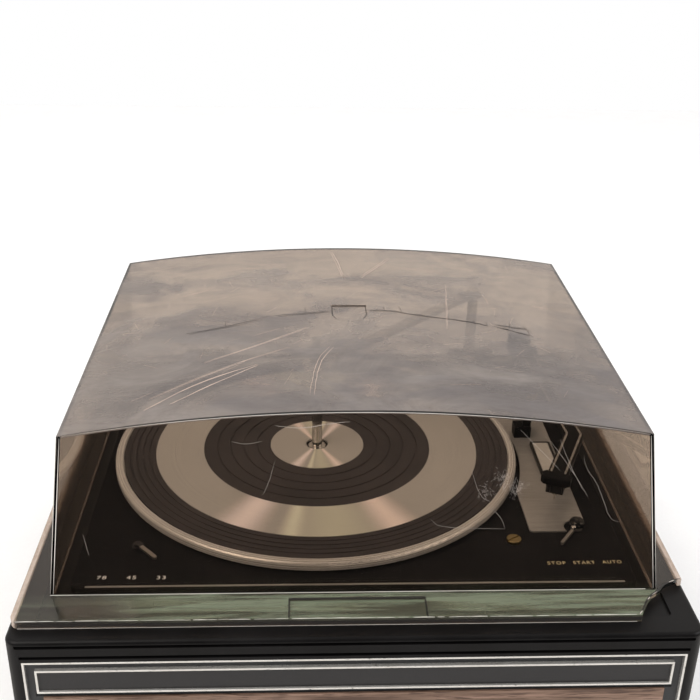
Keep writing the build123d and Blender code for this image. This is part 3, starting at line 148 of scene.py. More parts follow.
@dataclass(frozen=True)
class Coated:
    """Enamel, moulded plastic, rubber or plain plated metal, with a grain and soft wear.

    The grain's size is grit_mm and the wear's is blotch_mm. The roughness varies by swing, and a
    value of chips above 0 lays small dark chips over the colour.
    """

    name: str
    colour: str
    worn: str
    roughness: float
    grit_mm: float
    bump: float = 0.25
    blotch_mm: float = 40.0
    metallic: float = 0.0
    swing: float = 0.12
    specular: float = 0.5
    chips: float = 0.0

    def chipped(self, tree: bpy.types.NodeTree,
                colour: bpy.types.NodeSocket) -> bpy.types.NodeSocket:
        """Put small dark chips over a colour.

        Args:
            tree: node tree of the finish.
            colour: the colour that shows between the chips.

        Returns:
            The colour with its chips.
        """
        spots = add_node(tree, "TexNoise", {}, {"Vector": place(tree, (0.55, 1.0, 1.0)),
                                                "Scale": 0.9, "Detail": 4.0, "Roughness": 0.7})
        here = add_node(tree, "MapRange", {}, {"Value": spots.outputs["Fac"],
                                               "From Min": 0.74 - self.chips,
                                               "From Max": 0.76 - self.chips})
        return add_node(tree, "Mix", {"data_type": "RGBA"},
                        {0: here.outputs["Result"], 6: colour,
                         7: linear("#2B2A29")}).outputs[2]

    def make(self) -> bpy.types.Material:
        """Build the finish.

        Returns:
            The material.
        """
        material, tree = new_material(self.name)
        where = place(tree)
        blotch = add_node(tree, "TexNoise", {}, {"Vector": where, "Scale": 1 / self.blotch_mm,
                                                 "Detail": 6.0, "Roughness": 0.65})
        grit = add_node(tree, "TexNoise", {}, {"Vector": where, "Scale": 1 / self.grit_mm,
                                               "Detail": 3.0, "Roughness": 0.6})
        both = add_node(tree, "Math", {"operation": "MULTIPLY"},
                        {0: blotch.outputs["Fac"], 1: grit.outputs["Fac"]})
        tone = add_node(tree, "ValToRGB", {}, {"Fac": both.outputs[0]})
        tone.color_ramp.elements[0].position = 0.16
        tone.color_ramp.elements[0].color = linear(self.colour)
        tone.color_ramp.elements[1].position = 0.5
        tone.color_ramp.elements[1].color = linear(self.worn)
        rough = add_node(tree, "MapRange", {}, {"Value": blotch.outputs["Fac"],
                                                "From Min": 0.3, "From Max": 0.7,
                                                "To Min": self.roughness - self.swing / 2,
                                                "To Max": self.roughness + self.swing / 2})
        bump = add_node(tree, "Bump", {}, {"Height": grit.outputs["Fac"],
                                           "Strength": self.bump, "Distance": 0.15 * MM})
        colour = tone.outputs["Color"]
        if self.chips:
            colour = self.chipped(tree, colour)
        shader = add_node(tree, "BsdfPrincipled", {},
                          {"Base Color": colour, "Roughness": rough.outputs["Result"],
                           "Metallic": self.metallic, "Normal": bump.outputs["Normal"],
                           "Specular IOR Level": self.specular})
        out_surface(tree, shader.outputs["BSDF"])
        return material


@dataclass(frozen=True)
class Brushed:
    """Brushed, drawn or spun metal: fine lines along one axis or round a centre.

    Each painted fan of highlight has the angle of its middle and half its spread, in degrees, and
    a colour.
    """

    name: str
    colour: str
    shade: str
    roughness: float
    line_mm: float
    along: Along
    centre: Point = (0.0, 0.0, 0.0)
    anisotropic: float = 0.6
    bump: float = 0.12
    metallic: float = 1.0
    fans: tuple[tuple[float, float, str], ...] = ()

    def paint_fan_highlights(self, tree: bpy.types.NodeTree,
                  colour: bpy.types.NodeSocket) -> bpy.types.NodeSocket:
        """Paint over a colour the fans of highlight that spun rings show.

        Args:
            tree: node tree of the finish.
            colour: the colour between the fans.

        Returns:
            The colour with its painted highlight fans.
        """
        out = add_node(tree, "VectorMath", {"operation": "NORMALIZE"},
                       {0: place(tree, (1.0, 1.0, 0.0), self.centre)})
        for degrees, spread, light in self.fans:
            angle = math.radians(degrees)
            across = add_node(tree, "VectorMath", {"operation": "DOT_PRODUCT"},
                              {0: out.outputs[0], 1: (-math.sin(angle), math.cos(angle), 0.0)})
            away = add_node(tree, "Math", {"operation": "ABSOLUTE"}, {0: across.outputs["Value"]})
            share = add_node(tree, "MapRange", {"interpolation_type": "SMOOTHSTEP"},
                             {"Value": away.outputs[0], "From Max": math.sin(math.radians(spread)),
                              "To Min": 0.95, "To Max": 0.0})
            colour = add_node(tree, "Mix", {"data_type": "RGBA"},
                              {0: share.outputs["Result"], 6: colour, 7: linear(light)}).outputs[2]
        return colour

    def lines(self, tree: bpy.types.NodeTree) -> bpy.types.NodeSocket:
        """Noise that is drawn out along the brushing.

        Args:
            tree: node tree of the finish.

        Returns:
            The height of the lines.
        """
        if self.along is not Along.RING:
            where = place(tree, self.along.value)
            noise = add_node(tree, "TexNoise", {}, {"Vector": where, "Scale": 1 / self.line_mm,
                                                    "Detail": 4.0, "Roughness": 0.7})
            return noise.outputs["Fac"]
        where = place(tree, (1.0, 1.0, 0.0), self.centre)
        radius = add_node(tree, "VectorMath", {"operation": "LENGTH"}, {0: where})
        coords = add_node(tree, "TexCoord")
        facing = add_node(tree, "SeparateXYZ", {}, {0: coords.outputs["Normal"]})
        height = add_node(tree, "SeparateXYZ", {}, {0: place(tree)})
        flat = add_node(tree, "MapRange", {}, {"Value": facing.outputs[2], "From Min": 0.4,
                                               "From Max": 0.9})
        step = add_node(tree, "Mix", {}, {0: flat.outputs["Result"], 2: height.outputs[2],
                                          3: radius.outputs["Value"]})
        noise = add_node(tree, "TexNoise", {"noise_dimensions": "1D"},
                         {"W": step.outputs[0], "Scale": 1 / self.line_mm,
                          "Detail": 5.0, "Roughness": 0.7})
        return noise.outputs["Fac"]

    def make(self) -> bpy.types.Material:
        """Build the finish.

        Returns:
            The material.
        """
        material, tree = new_material(self.name)
        height = self.lines(tree)
        cloud = add_node(tree, "TexNoise", {}, {"Vector": place(tree), "Scale": 1 / 60,
                                                "Detail": 4.0})
        # seven tenths of the tone come from the lines, the rest from a soft cloud
        lined = add_node(tree, "Math", {"operation": "MULTIPLY"}, {0: height, 1: 0.7})
        total = add_node(tree, "Math", {"operation": "MULTIPLY_ADD"},
                         {0: cloud.outputs["Fac"], 1: 0.3, 2: lined.outputs[0]})
        tone = add_node(tree, "ValToRGB", {}, {"Fac": total.outputs[0]})
        tone.color_ramp.elements[0].position = 0.32
        tone.color_ramp.elements[0].color = linear(self.shade)
        tone.color_ramp.elements[1].position = 0.66
        tone.color_ramp.elements[1].color = linear(self.colour)
        rough = add_node(tree, "MapRange", {}, {"Value": height, "From Min": 0.3,
                                                "From Max": 0.7,
                                                "To Min": self.roughness - 0.06,
                                                "To Max": self.roughness + 0.08})
        bump = add_node(tree, "Bump", {}, {"Height": height, "Strength": self.bump,
                                           "Distance": 0.05 * MM})
        colour = tone.outputs["Color"]
        # painted highlights: fans of light laid into the colour
        if self.fans:
            colour = self.paint_fan_highlights(tree, colour)
        shader = add_node(tree, "BsdfPrincipled", {},
                          {"Base Color": colour,
                           "Roughness": rough.outputs["Result"], "Metallic": self.metallic,
                           "Anisotropic": self.anisotropic,
                           "Normal": bump.outputs["Normal"]})
        if self.along is Along.RING:
            tangent = add_node(tree, "Tangent", {"direction_type": "RADIAL", "axis": "Z"})
            tree.links.new(tangent.outputs["Tangent"], shader.inputs["Tangent"])
        out_surface(tree, shader.outputs["BSDF"])
        return material


@dataclass(frozen=True)
class Veneer:
    """Printed wood grain running along X, with dark pores and a satin lacquer."""

    name: str = "lacquered_wood_grain"
    light: str = "#8F7364"
    mid: str = "#786051"
    dark: str = "#523E34"
    vein_mm: float = 5.0
    pore_mm: float = 0.8

    def make(self) -> bpy.types.Material:
        """Build the finish.

        Returns:
            The material.
        """
        material, tree = new_material(self.name)
        veins = add_node(tree, "TexNoise", {}, {"Vector": place(tree, (0.05, 1.0, 1.0)),
                                                "Scale": 1 / self.vein_mm, "Detail": 7.0,
                                                "Roughness": 0.6, "Distortion": 0.4})
        pores = add_node(tree, "TexNoise", {}, {"Vector": place(tree, (0.06, 1.0, 1.0)),
                                                "Scale": 1 / self.pore_mm, "Detail": 2.0})
        tone = add_node(tree, "ValToRGB", {}, {"Fac": veins.outputs["Fac"]})
        ramp = tone.color_ramp
        ramp.elements[0].position = 0.34
        ramp.elements[0].color = linear(self.dark)
        ramp.elements[1].position = 0.64
        ramp.elements[1].color = linear(self.light)
        ramp.elements.new(0.48).color = linear(self.mid)
        pore = add_node(tree, "MapRange", {}, {"Value": pores.outputs["Fac"], "From Min": 0.36,
                                               "From Max": 0.46})
        mix = add_node(tree, "Mix", {"data_type": "RGBA"},
                       {0: pore.outputs["Result"], 6: linear(self.dark),
                        7: tone.outputs["Color"]})
        bump = add_node(tree, "Bump", {}, {"Height": pore.outputs["Result"], "Strength": 0.3,
                                           "Distance": 0.06 * MM})
        shader = add_node(tree, "BsdfPrincipled", {},
                          {"Base Color": mix.outputs[2], "Roughness": 0.36,
                           "Normal": bump.outputs["Normal"], "Specular IOR Level": 0.35})
        out_surface(tree, shader.outputs["BSDF"])
        return material


@dataclass(frozen=True)
class SmokedAcrylic:
    """Moulded smoked acrylic: clear tinted walls, a top hazed by handling, a streaked flange.

    A row of noises holds a name, the squeeze of each axis, the size of the blobs in
    millimetres, the number of finer layers, the swirl, and the levels that give 0 and 1. A row
    of shares holds a name, an operation and its values, each a number or an earlier name.
    """

    name: str = "smoked_acrylic"
    tint: str = "#D6CABE"
    cast: str = "#F0EEEC"
    haze: str = "#676160"
    cloud: str = "#827A75"
    streak: str = "#757F6B"
    lip: str = "#34312F"
    margin: str = "#C7B6A9"
    held_back: float = 0.35
    top_z: float = 216.5
    flange_z: float = 130.6
    front_y: float = -149.0
    lip_y: float = -171.0
    side_x: float = 190.8
    noises: tuple[tuple[str, Point, float, float, float, float, float], ...] = (
        ("smudges", (0.7, 1.0, 1.0), 55, 7, 0.9, 0.42, 0.66),
        ("wiped", (0.35, 1.0, 1.0), 16, 6, 1.2, 0.45, 0.70),
        ("bands", (0.06, 1.0, 1.0), 5.5, 7, 0.5, 0.44, 0.62),
        ("specks", (1.0, 1.0, 1.0), 1.6, 2, 0.0, 0.68, 0.78),
        ("worn", (1.0, 0.3, 1.0), 3.0, 4, 0.0, 0.35, 0.60),
        ("clouds", (0.6, 1.0, 1.0), 60, 4, 0.5, 0.35, 0.65))
    shares: tuple[tuple[Any, ...], ...] = (
        ("top", "MULTIPLY", "level", "high"),
        ("smudged", "MULTIPLY_ADD", "smudges", 0.38, 0.14),
        ("smeared", "MULTIPLY_ADD", "wiped", 0.16, "smudged"),
        ("hazed", "MULTIPLY_ADD", "near", 0.34, "smeared"),
        ("on_top", "MULTIPLY", "top", "hazed"),
        ("flat", "MULTIPLY", "level", "low"),
        ("flange", "MULTIPLY", "flat", "front"),
        ("rightwards", "MULTIPLY_ADD", "right", 0.85, 0.15),
        ("streaked", "MULTIPLY_ADD", "bands", 0.58, 0.09),
        ("streaks", "MULTIPLY", "rightwards", "streaked"),
        ("on_flange", "MULTIPLY", "flange", "streaks"),
        ("lip_face", "MULTIPLY", "steep", "low"),
        ("lip", "MULTIPLY", "lip_face", "nose"),
        ("margin", "MULTIPLY", "low", "outer"),
        ("rubbed", "MULTIPLY_ADD", "worn", 0.25, 0.55),
        ("on_margin", "MULTIPLY", "margin", "rubbed"),
        ("dusty", "MULTIPLY_ADD", "specks", 0.05, "on_top"),
        ("dusty_flange", "ADD", "dusty", "on_flange"),
        ("film", "ADD", "dusty_flange", "on_margin"),
        ("whole", "MULTIPLY_ADD", "lip", 0.7, "film"))

    def film_shares(self, tree: bpy.types.NodeTree) -> dict[str, bpy.types.NodeSocket]:
        """Work out where the dull film lies, and on which face of the lid.

        Args:
            tree: node tree of the finish.

        Returns:
            Each step, noise and share by its name; whole is the amount of the film.
        """
        split = add_node(tree, "SeparateXYZ", {}, {0: place(tree)})
        x, y, z = split.outputs
        wide = add_node(tree, "Math", {"operation": "ABSOLUTE"}, {0: x}).outputs[0]
        coords = add_node(tree, "TexCoord")
        facing = add_node(tree, "SeparateXYZ", {}, {0: coords.outputs["Normal"]}).outputs[2]
        upright = add_node(tree, "Math", {"operation": "ABSOLUTE"}, {0: facing}).outputs[0]
        steps = [("level", facing, 0.7, 0.9), ("steep", upright, 0.5, 0.3),
                 ("low", z, self.flange_z + 0.6, self.flange_z),
                 ("high", z, self.top_z, self.top_z + 2),
                 ("front", y, self.front_y + 1, self.front_y),
                 ("nose", y, self.lip_y, self.lip_y - 0.8),
                 ("outer", wide, self.side_x, self.side_x + 1.4),
                 ("near", y, 70.0, -60.0), ("right", x, -165.0, -95.0)]
        for name, squeeze, size, detail, swirl, start, end in self.noises:
            made = add_node(tree, "TexNoise", {}, {"Vector": place(tree, squeeze),
                                                   "Scale": 1 / size, "Detail": detail,
                                                   "Roughness": 0.62, "Distortion": swirl})
            steps.append((name, made.outputs["Fac"], start, end))
        found: dict[str, bpy.types.NodeSocket] = {}
        for name, value, start, end in steps:
            step = add_node(tree, "MapRange", {"interpolation_type": "SMOOTHSTEP"},
                            {"Value": value, "From Min": start, "From Max": end})
            found[name] = step.outputs["Result"]
        for name, operation, *values in self.shares:
            links = {i: found.get(value, value) for i, value in enumerate(values)}
            found[name] = add_node(tree, "Math", {"operation": operation,
                                                  "use_clamp": name == "whole"},
                                   links).outputs[0]
        return found

    def make(self) -> bpy.types.Material:
        """Build the finish.

        Returns:
            The material.
        """
        material, tree = new_material(self.name)
        found = self.film_shares(tree)
        film = add_node(tree, "Mix", {"data_type": "RGBA"},
                        {0: found["clouds"], 6: linear(self.haze),
                         7: linear(self.cloud)}).outputs[2]
        for face, colour in (("flange", self.streak), ("lip", self.lip),
                             ("margin", self.margin)):
            film = add_node(tree, "Mix", {"data_type": "RGBA"},
                            {0: found[face], 6: film, 7: linear(colour)}).outputs[2]
        path = add_node(tree, "LightPath")
        # light that falls through the dull film is only partly held back
        spared = add_node(tree, "MapRange", {}, {"Value": path.outputs["Is Shadow Ray"],
                                                 "To Min": 1.0, "To Max": self.held_back})
        amount = add_node(tree, "Math", {"operation": "MULTIPLY"},
                          {0: found["whole"], 1: spared.outputs["Result"]})
        waves = add_node(tree, "TexNoise", {}, {"Vector": place(tree), "Scale": 1 / 60,
                                                "Detail": 3.0})
        wavy = add_node(tree, "Bump", {}, {"Height": waves.outputs["Fac"], "Strength": 0.05,
                                           "Distance": 1.0 * MM})
        clear = add_node(tree, "BsdfPrincipled", {},
                         {"Base Color": linear(self.tint), "Roughness": 0.03, "IOR": 1.49,
                          "Transmission Weight": 1.0, "Normal": wavy.outputs["Normal"]})
        cast = add_node(tree, "BsdfTransparent", {}, {"Color": linear(self.cast)})
        lit = add_node(tree, "MixShader", {}, {0: path.outputs["Is Shadow Ray"],
                                               1: clear.outputs["BSDF"],
                                               2: cast.outputs["BSDF"]})
        dull = add_node(tree, "BsdfPrincipled", {}, {"Base Color": film, "Roughness": 0.42})
        mixed = add_node(tree, "MixShader", {}, {0: amount.outputs[0], 1: lit.outputs[0],
                                                 2: dull.outputs["BSDF"]})
        out_surface(tree, mixed.outputs[0])
        return material


def dress(material: bpy.types.Material, *nodes: str) -> None:
    """Give CAD nodes a finish.

    Args:
        material: the finish.
        nodes: names of the nodes.
    """
    for name in nodes:
        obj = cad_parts[name]
        obj.data.materials.clear()
        obj.data.materials.append(material)


def piece(name: str, bm: bmesh.types.BMesh, material: bpy.types.Material, body: str,
          smooth: bool = False) -> bpy.types.Object:
    """Turn a bmesh in millimetres into a piece that rides on a body.

    Args:
        name: name of the piece.
        bm: the shape, in millimetres in the model's frame. It is freed.
        material: the finish.
        body: body that it moves with.
        smooth: whether its faces are shaded smooth.

    Returns:
        The object.
    """
    bmesh.ops.scale(bm, vec=(MM, MM, MM), verts=bm.verts)
    bmesh.ops.recalc_face_normals(bm, faces=bm.faces)
    mesh = bpy.data.meshes.new(name)
    for face in bm.faces:
        face.smooth = smooth
    bm.to_mesh(mesh)
    bm.free()
    mesh.materials.append(material)
    obj = bpy.data.objects.new(name, mesh)
    bpy.context.scene.collection.objects.link(obj)
    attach(obj, body)
    log.info("%s rides on %s, %d faces", name, body, len(mesh.polygons))
    return obj


def add_strip(bm: bmesh.types.BMesh, points: Sequence[Vector], width: float, normal: Vector,
              height: float) -> None:
    """Add a thin strip along a line, tapering to its ends.

    Args:
        bm: mesh that takes the strip.
        points: the line, in millimetres.
        width: width at its middle.
        normal: direction that the strip's top faces.
        height: how far it stands proud.
    """
    rows = []
    last = len(points) - 1
    for i, point in enumerate(points):
        ahead = points[min(i + 1, last)] - points[max(i - 1, 0)]
        side = ahead.cross(normal).normalized()
        half = width * (0.15 + 0.85 * math.sin(math.pi * (i + 0.5) / (last + 1))) / 2
        rows.append([bm.verts.new(point - side * half), bm.verts.new(point + side * half)])
    faces = [bm.faces.new((a[0], b[0], b[1], a[1])) for a, b in zip(rows, rows[1:])]
    solid = bmesh.ops.extrude_face_region(bm, geom=faces)
    raised = [v for v in solid["geom"] if isinstance(v, bmesh.types.BMVert)]
    bmesh.ops.translate(bm, verts=raised, vec=normal * height)


def add_bar(bm: bmesh.types.BMesh, start: Vector, end: Vector, size: tuple[float, float],
            bevel: float = 0.0) -> None:
    """Add a straight bar of rectangular section, level in Z across its width.

    Args:
        bm: mesh that takes the bar.
        start: middle of one end.
        end: middle of the other end.
        size: width and height of the section.
        bevel: radius of its long edges.
    """
    run = end - start
    made = bmesh.ops.create_cube(bm, size=1.0)["verts"]
    turn = run.to_track_quat("X", "Z").to_matrix().to_4x4()
    grow = Matrix.Diagonal((run.length, size[0], size[1], 1.0))
    bmesh.ops.transform(bm, matrix=Matrix.Translation((start + end) / 2) @ turn @ grow,
                        verts=made)
    if bevel:
        edges = {e for v in made for e in v.link_edges}
        bmesh.ops.bevel(bm, geom=list(edges), offset=bevel, segments=2, profile=0.5,
                        affect="EDGES", material=-1)


def add_round(bm: bmesh.types.BMesh, centre: Vector, radius: float, depth: float,
              axis: Vector) -> None:
    """Add a round bar whose middle is at centre.

    Args:
        bm: mesh that takes the bar.
        centre: its middle.
        radius: its radius.
        depth: length along the axis.
        axis: its direction.
    """
    turn = axis.to_track_quat("Z", "Y").to_matrix().to_4x4()
    bmesh.ops.create_cone(bm, cap_ends=True, segments=32, radius1=radius, radius2=radius,
                          depth=depth, matrix=Matrix.Translation(centre) @ turn)


def lettering(text: str, name: str, at: Point, height: float, stretch: float,
              material: bpy.types.Material, body: str) -> bpy.types.Object:
    """Print a word flat on a level surface.

    Args:
        text: the word.
        name: name of the piece.
        at: centre of the word, in millimetres.
        height: height of its capitals.
        stretch: width of the letters against a plain face.
        material: the ink.
        body: body that it moves with.

    Returns:
        The object.
    """
    curve = bpy.data.curves.new(name, "FONT")
    curve.body = text
    curve.align_x = "CENTER"
    curve.align_y = "CENTER"
    curve.size = height / CAPITAL_SHARE
    curve.space_character = LETTER_SPACE
    curve.extrude = INK_H / 2
    curve.resolution_u = 4
    holder = bpy.data.objects.new(name + "_outline", curve)
    bpy.context.scene.collection.objects.link(holder)
    bpy.context.view_layer.update()
    mesh = bpy.data.meshes.new_from_object(holder)
    bpy.data.objects.remove(holder)
    bm = bmesh.new()
    bm.from_mesh(mesh)
    bpy.data.meshes.remove(mesh)
    bmesh.ops.scale(bm, vec=(stretch, 1.0, 1.0), verts=bm.verts)
    bmesh.ops.translate(bm, vec=Vector(at) + Vector((0, 0, INK_H / 2)), verts=bm.verts)
    return piece(name, bm, material, body)


def brushed(name: str, colour: str, shade: str, along: Along, roughness: float = 0.34,
            line_mm: float = 0.5) -> bpy.types.Material:
    """Brushed metal with the usual width of line, turned round no centre."""
    return Brushed(name, colour, shade, roughness, line_mm, along).make()


class SubAssembly:
    """Parts that get their finishes and their fine detail together."""

    def dress(self) -> None:
        """Give the parts their finishes."""
        raise NotImplementedError

    def build(self) -> None:
        """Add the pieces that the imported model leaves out; a group without any keeps this."""


@dataclass
class Plinth(SubAssembly):
    """Low wooden case in black covering, with its ledge, feet and back."""

    covering: Coated = Coated("black_leathercloth", "#0C0B0B", "#1A191A", 0.36, 0.45, 0.3,
                              specular=0.2)
    board: Coated = Coated("hardboard", "#54402E", "#6E563F", 0.75, 0.8, 0.3)
    rubber: Coated = Coated("black_rubber", "#141414", "#232323", 0.7, 0.5, 0.35)
    socket: Coated = Coated("black_phenolic", "#161414", "#2A2626", 0.38, 0.5)

    def dress(self) -> None:
        """Finish the case, feet, back and screws."""
        # satin black covering with a fine grain, a little greyer where it is rubbed
        dress(self.covering.make(), "plinth_shell")
        # brown pressed board, flat and fibrous
        dress(self.board.make(), "base_board", "rear_panel")
        # moulded rubber, dull and nearly black
        dress(self.rubber.make(), "rubber_feet", "rubber_mounts", "mains_gland")
        # moulded phenolic with a low, even sheen
        dress(self.socket.make(), "phono_sockets")
        # zinc-plated pressed steel, greyish yellow with drawn lines
        steel = brushed("zinc_plated_steel", "#B9B4A6", "#8A867C", Along.X, 0.38)
        dress(steel, "case_screws", "hinge_fixed_leaves", "hinge_lid_leaves", "motor_screws")
        # ground steel, brighter and with tighter glints
        dress(brushed("ground_steel_x", "#BFC0C0", "#93938F", Along.X, 0.22), "hinge_pins")


@dataclass
class Fascia(SubAssembly):
    """Dark front with bright frames, a grey window band and a wood-grain panel."""

    black: Coated = Coated("fascia_black", "#323233", "#434344", 0.4, 0.6, specular=0.3)
    window: Coated = Coated("grey_window", "#222122", "#2D2C2D", 0.36, 0.9, 0.12, 70.0)
    chrome: Coated = Coated("bright_trim", "#F4F2EE", "#D5D2CB", 0.2, 0.9, 0.1, 12.0, 0.75,
                            chips=0.1)

    def dress(self) -> None:
        """Finish the front."""
        # moulded plastic in satin black
        dress(self.black.make(), "fascia_frame")
        # dull dark grey strip, nearly even in tone
        dress(self.window.make(), "dial_window")
        # reddish-brown printed grain that runs along the panel
        dress(Veneer().make(), "wood_panel")
        # foil-bright strip with duller patches and small dark chips
        dress(self.chrome.make(), "fascia_trims")


@dataclass
class Lid(SubAssembly):
    """Smoked lid: scratches, cracks, a broken corner, a painted dark edge line and painted edge
    highlights.

    Marks of the top and of the flange are lines of x and y, marks of the front wall lines of x
    and z.
    """

    crown_radius: float = 1013.8
    crown_z: float = 238.1
    crown_spare: float = 0.002
    front_y: float = -148.3
    front_slope: float = 18.3 / 94.1
    flange_z: float = 130.0
    ink_slot: str = "smoked_acrylic"
    lip_y: float = -172.0
    lip_bottom: float = 125.3
    foot_line: tuple[float, float] = (-176.5, 170.0)
    lip_wear: tuple[float, float] = (-191.0, 155.0)
    lip_line: tuple[float, float] = (-190.0, 159.0)
    edge_half: float = 165.5
    edge_points: int = 84
    edge_tilt: Point = (0.0, -0.64, 0.77)
    edge_inset: float = 0.3
    edge_line_w: float = 1.1
    # painted highlights of the front edge: their share, and more of them past a point towards the
    # right
    glint_share: float = 0.35
    glints_more_from: int = 70
    glints_more: float = 0.6
    wall_foot_x: float = 176.6
    wall_head_x: float = 167.9
    wall_head_z: float = 223.0
    hairlines: int = 60
    hair_x: float = 150.0
    hair_y: tuple[float, float] = (-115.0, 130.0)
    plain_x: float = 160.0
    plain_y: tuple[float, float] = (-122.0, 136.0)
    specks_each: int = 46
    badge_floor: float = 237.1
    badge_y: float = 11.0
    badge_inset: float = 0.96
    badge: Line = ((-12, 9), (-12, 24.7), (12, 24.7), (12, 9), (8.4, 1), (0, -2.6), (-8.4, 1),
                   (-12, 9))
    grip: tuple[tuple[Line, float], ...] = (
        (((-39.4, -154.2), (39.4, -154.2)), 1.9), (((-39.2, -154.2), (-39.2, -170.8)), 0.9),
        (((39.2, -154.2), (39.2, -170.8)), 0.9))
    pale: tuple[Line, ...] = (
        ((-92, -57), (-60, -37), (-28, -12)), ((-121, -112), (-94, -84), (-59, -64)),
        ((-107, -109), (-85, -89), (-59, -67)), ((-121, -100), (-76, -64), (-41, -43)),
        ((72, 68), (67, 25), (63, -10)), ((-26, -107), (-22, -63), (-13, -43)),
        ((-9, 129), (-4, 98), (-1, 71)), ((10, 76), (24, 100), (34, 119)))
    dark: tuple[Line, ...] = (
        ((-50, 9), (-30, 11), (-13, 14)),
        ((12, 16), (24, 16), (36, 14)), ((34, 13), (52, 8), (66, 6)), ((62, 7), (82, 3), (92, -1)),
        ((98, 2), (108, 0), (119, 0)), ((96, -1), (108, -6), (119, -11)),
        ((-108, -11), (-82, -5), (-61, 5)))
    wall_marks: tuple[Line, ...] = (
        ((64, 204), (70, 187), (77, 184)),
        ((128, 212), (130, 204), (137, 195), (141, 185), (146, 173), (152, 171.5)),
        ((42, 174), (47, 169), (85, 168)), ((75, 181), (82, 176), (85, 168.5)),
        ((108, 221), (124, 200), (132, 187)), ((114, 221), (122, 203), (129, 191)),
        ((91, 227), (103, 215), (115, 203)), ((-71, 221), (-63.5, 219), (-54, 221)),
        ((-47, 209), (-50, 198), (-54, 189.5)), ((-156.1, 167), (-154.7, 161), (-153.1, 154)))
    edge_crack: Line = ((-47, 230), (-33, 228), (-16, 231), (-5, 232))
    scuffs: Line = ((72.5, 190), (81, 199), (85, 196), (90, 190), (92.5, 194))
    break_line: Line = (
        (160.2, -171.9), (163.9, -167.3), (168.6, -159.2), (171.9, -155.1), (178.4, -150.2),
        (181.5, -146.0), (185.9, -143.1), (191.6, -140.4), (194.4, -139.8))

    def on_top(self, x: float, y: float) -> Vector:
        """Point of the arched top over x and y."""
        return Vector((x, y, self.crown_z - x * x / (2 * self.crown_radius)))

    def on_front(self, x: float, z: float) -> Vector:
        """Point of the front wall at x and z."""
        return Vector((x, self.front_y + (z - self.flange_z) * self.front_slope, z))

    def outwards(self) -> Vector:
        """Direction that the front wall faces."""
        return Vector((0, -1, self.front_slope)).normalized()

    def eased(self, points: Sequence[Vector], rounds: int = 2) -> list[Vector]:
        """Round a line's corners by cutting them.

        Args:
            points: corners of the line.
            rounds: number of cuts.

        Returns:
            The rounded line.
        """
        line = list(points)
        for _ in range(rounds):
            cut = [line[0]]
            for a, b in zip(line, line[1:]):
                cut += [a.lerp(b, 0.25), a.lerp(b, 0.75)]
            line = cut + [line[-1]]
        return line

    def rough_line(self, points: Sequence[Vector], rng: random.Random, step: float,
                   wander: float) -> list[Vector]:
        """Round a line, split it into short steps and let them wander a little.

        Args:
            points: corners of the line.
            rng: source of the wander.
            step: length of a step.
            wander: greatest shift of a step.

        Returns:
            The points of the wandering line.
        """
        corners = self.eased(points)
        line = []
        for a, b in zip(corners, corners[1:]):
            count = max(1, int((b - a).length / step))
            for k in range(count):
                jog = Vector([rng.uniform(-wander, wander) for _ in range(3)])
                line.append(a.lerp(b, k / count) + jog * Vector((1, 1, 0.1)))
        line.append(corners[-1])
        return line

    def top_strip(self, bm: bmesh.types.BMesh, line: Sequence[Vector], width: float) -> None:
        """Lay a strip on the arched top.

        Args:
            bm: mesh that takes the strip.
            line: points of the line, whose heights are ignored.
            width: width of the strip.
        """
        add_strip(bm, [self.on_top(p.x, p.y) for p in line], width, Vector((0, 0, 1)), STRIP_H)

    def wall_strip(self, bm: bmesh.types.BMesh, line: Sequence[Vector], width: float,
                   lift: float = 0.1) -> None:
        """Lay a strip on the front wall.

        Args:
            bm: mesh that takes the strip.
            line: points of the line, on the wall.
            width: width of the strip.
            lift: how far the strip starts off the wall.
        """
        out = self.outwards()
        add_strip(bm, [p + out * lift for p in line], width, out, STRIP_H)

    def cap(self, bm: bmesh.types.BMesh) -> None:
        """Hold a mesh a little below the highest line of the lid."""
        for vert in bm.verts:
            vert.co.z = min(vert.co.z, self.crown_z - self.crown_spare)

    def scratches(self) -> None:
        """Add the pale scratches of the top: those that show in the photo, and hairlines."""
        rng = random.Random(11)
        # cut acrylic, which scatters the light
        pale = Coated("scratch_pale", "#B9A396", "#DCC6B6", 0.55, 0.4).make()
        bm = bmesh.new()
        for mark in self.pale:
            for _ in range(2):
                shift = Vector((rng.uniform(-1.5, 1.5), rng.uniform(-1.5, 1.5), 0))
                line = [self.on_top(*p) + shift for p in mark]
                self.top_strip(bm, self.rough_line(line, rng, 5.0, 0.3), rng.uniform(0.2, 0.45))
        for _ in range(self.hairlines):
            x, y = rng.uniform(-self.hair_x, self.hair_x), rng.uniform(*self.hair_y)
            angle, length = rng.gauss(0.9, 0.7), rng.uniform(2, 20)
            ends = [self.on_top(x + t * length * math.cos(angle), y + t * length * math.sin(angle))
                    for t in (-0.5, -0.15, 0.2, 0.5)]
            if all(abs(p.x) < self.plain_x and self.plain_y[0] < p.y < self.plain_y[1]
                   for p in ends):
                self.top_strip(bm, ends, rng.uniform(0.06, 0.13))
        self.cap(bm)
        piece("lid_scratches", bm, pale, "lid")
        self.cracks(rng)

    def cracks(self, rng: random.Random) -> None:
        """Add the dark cracks of the top and the painted shade round the shallow badge recess.

        Args:
            rng: source of the wander, as the scratches left it.
        """
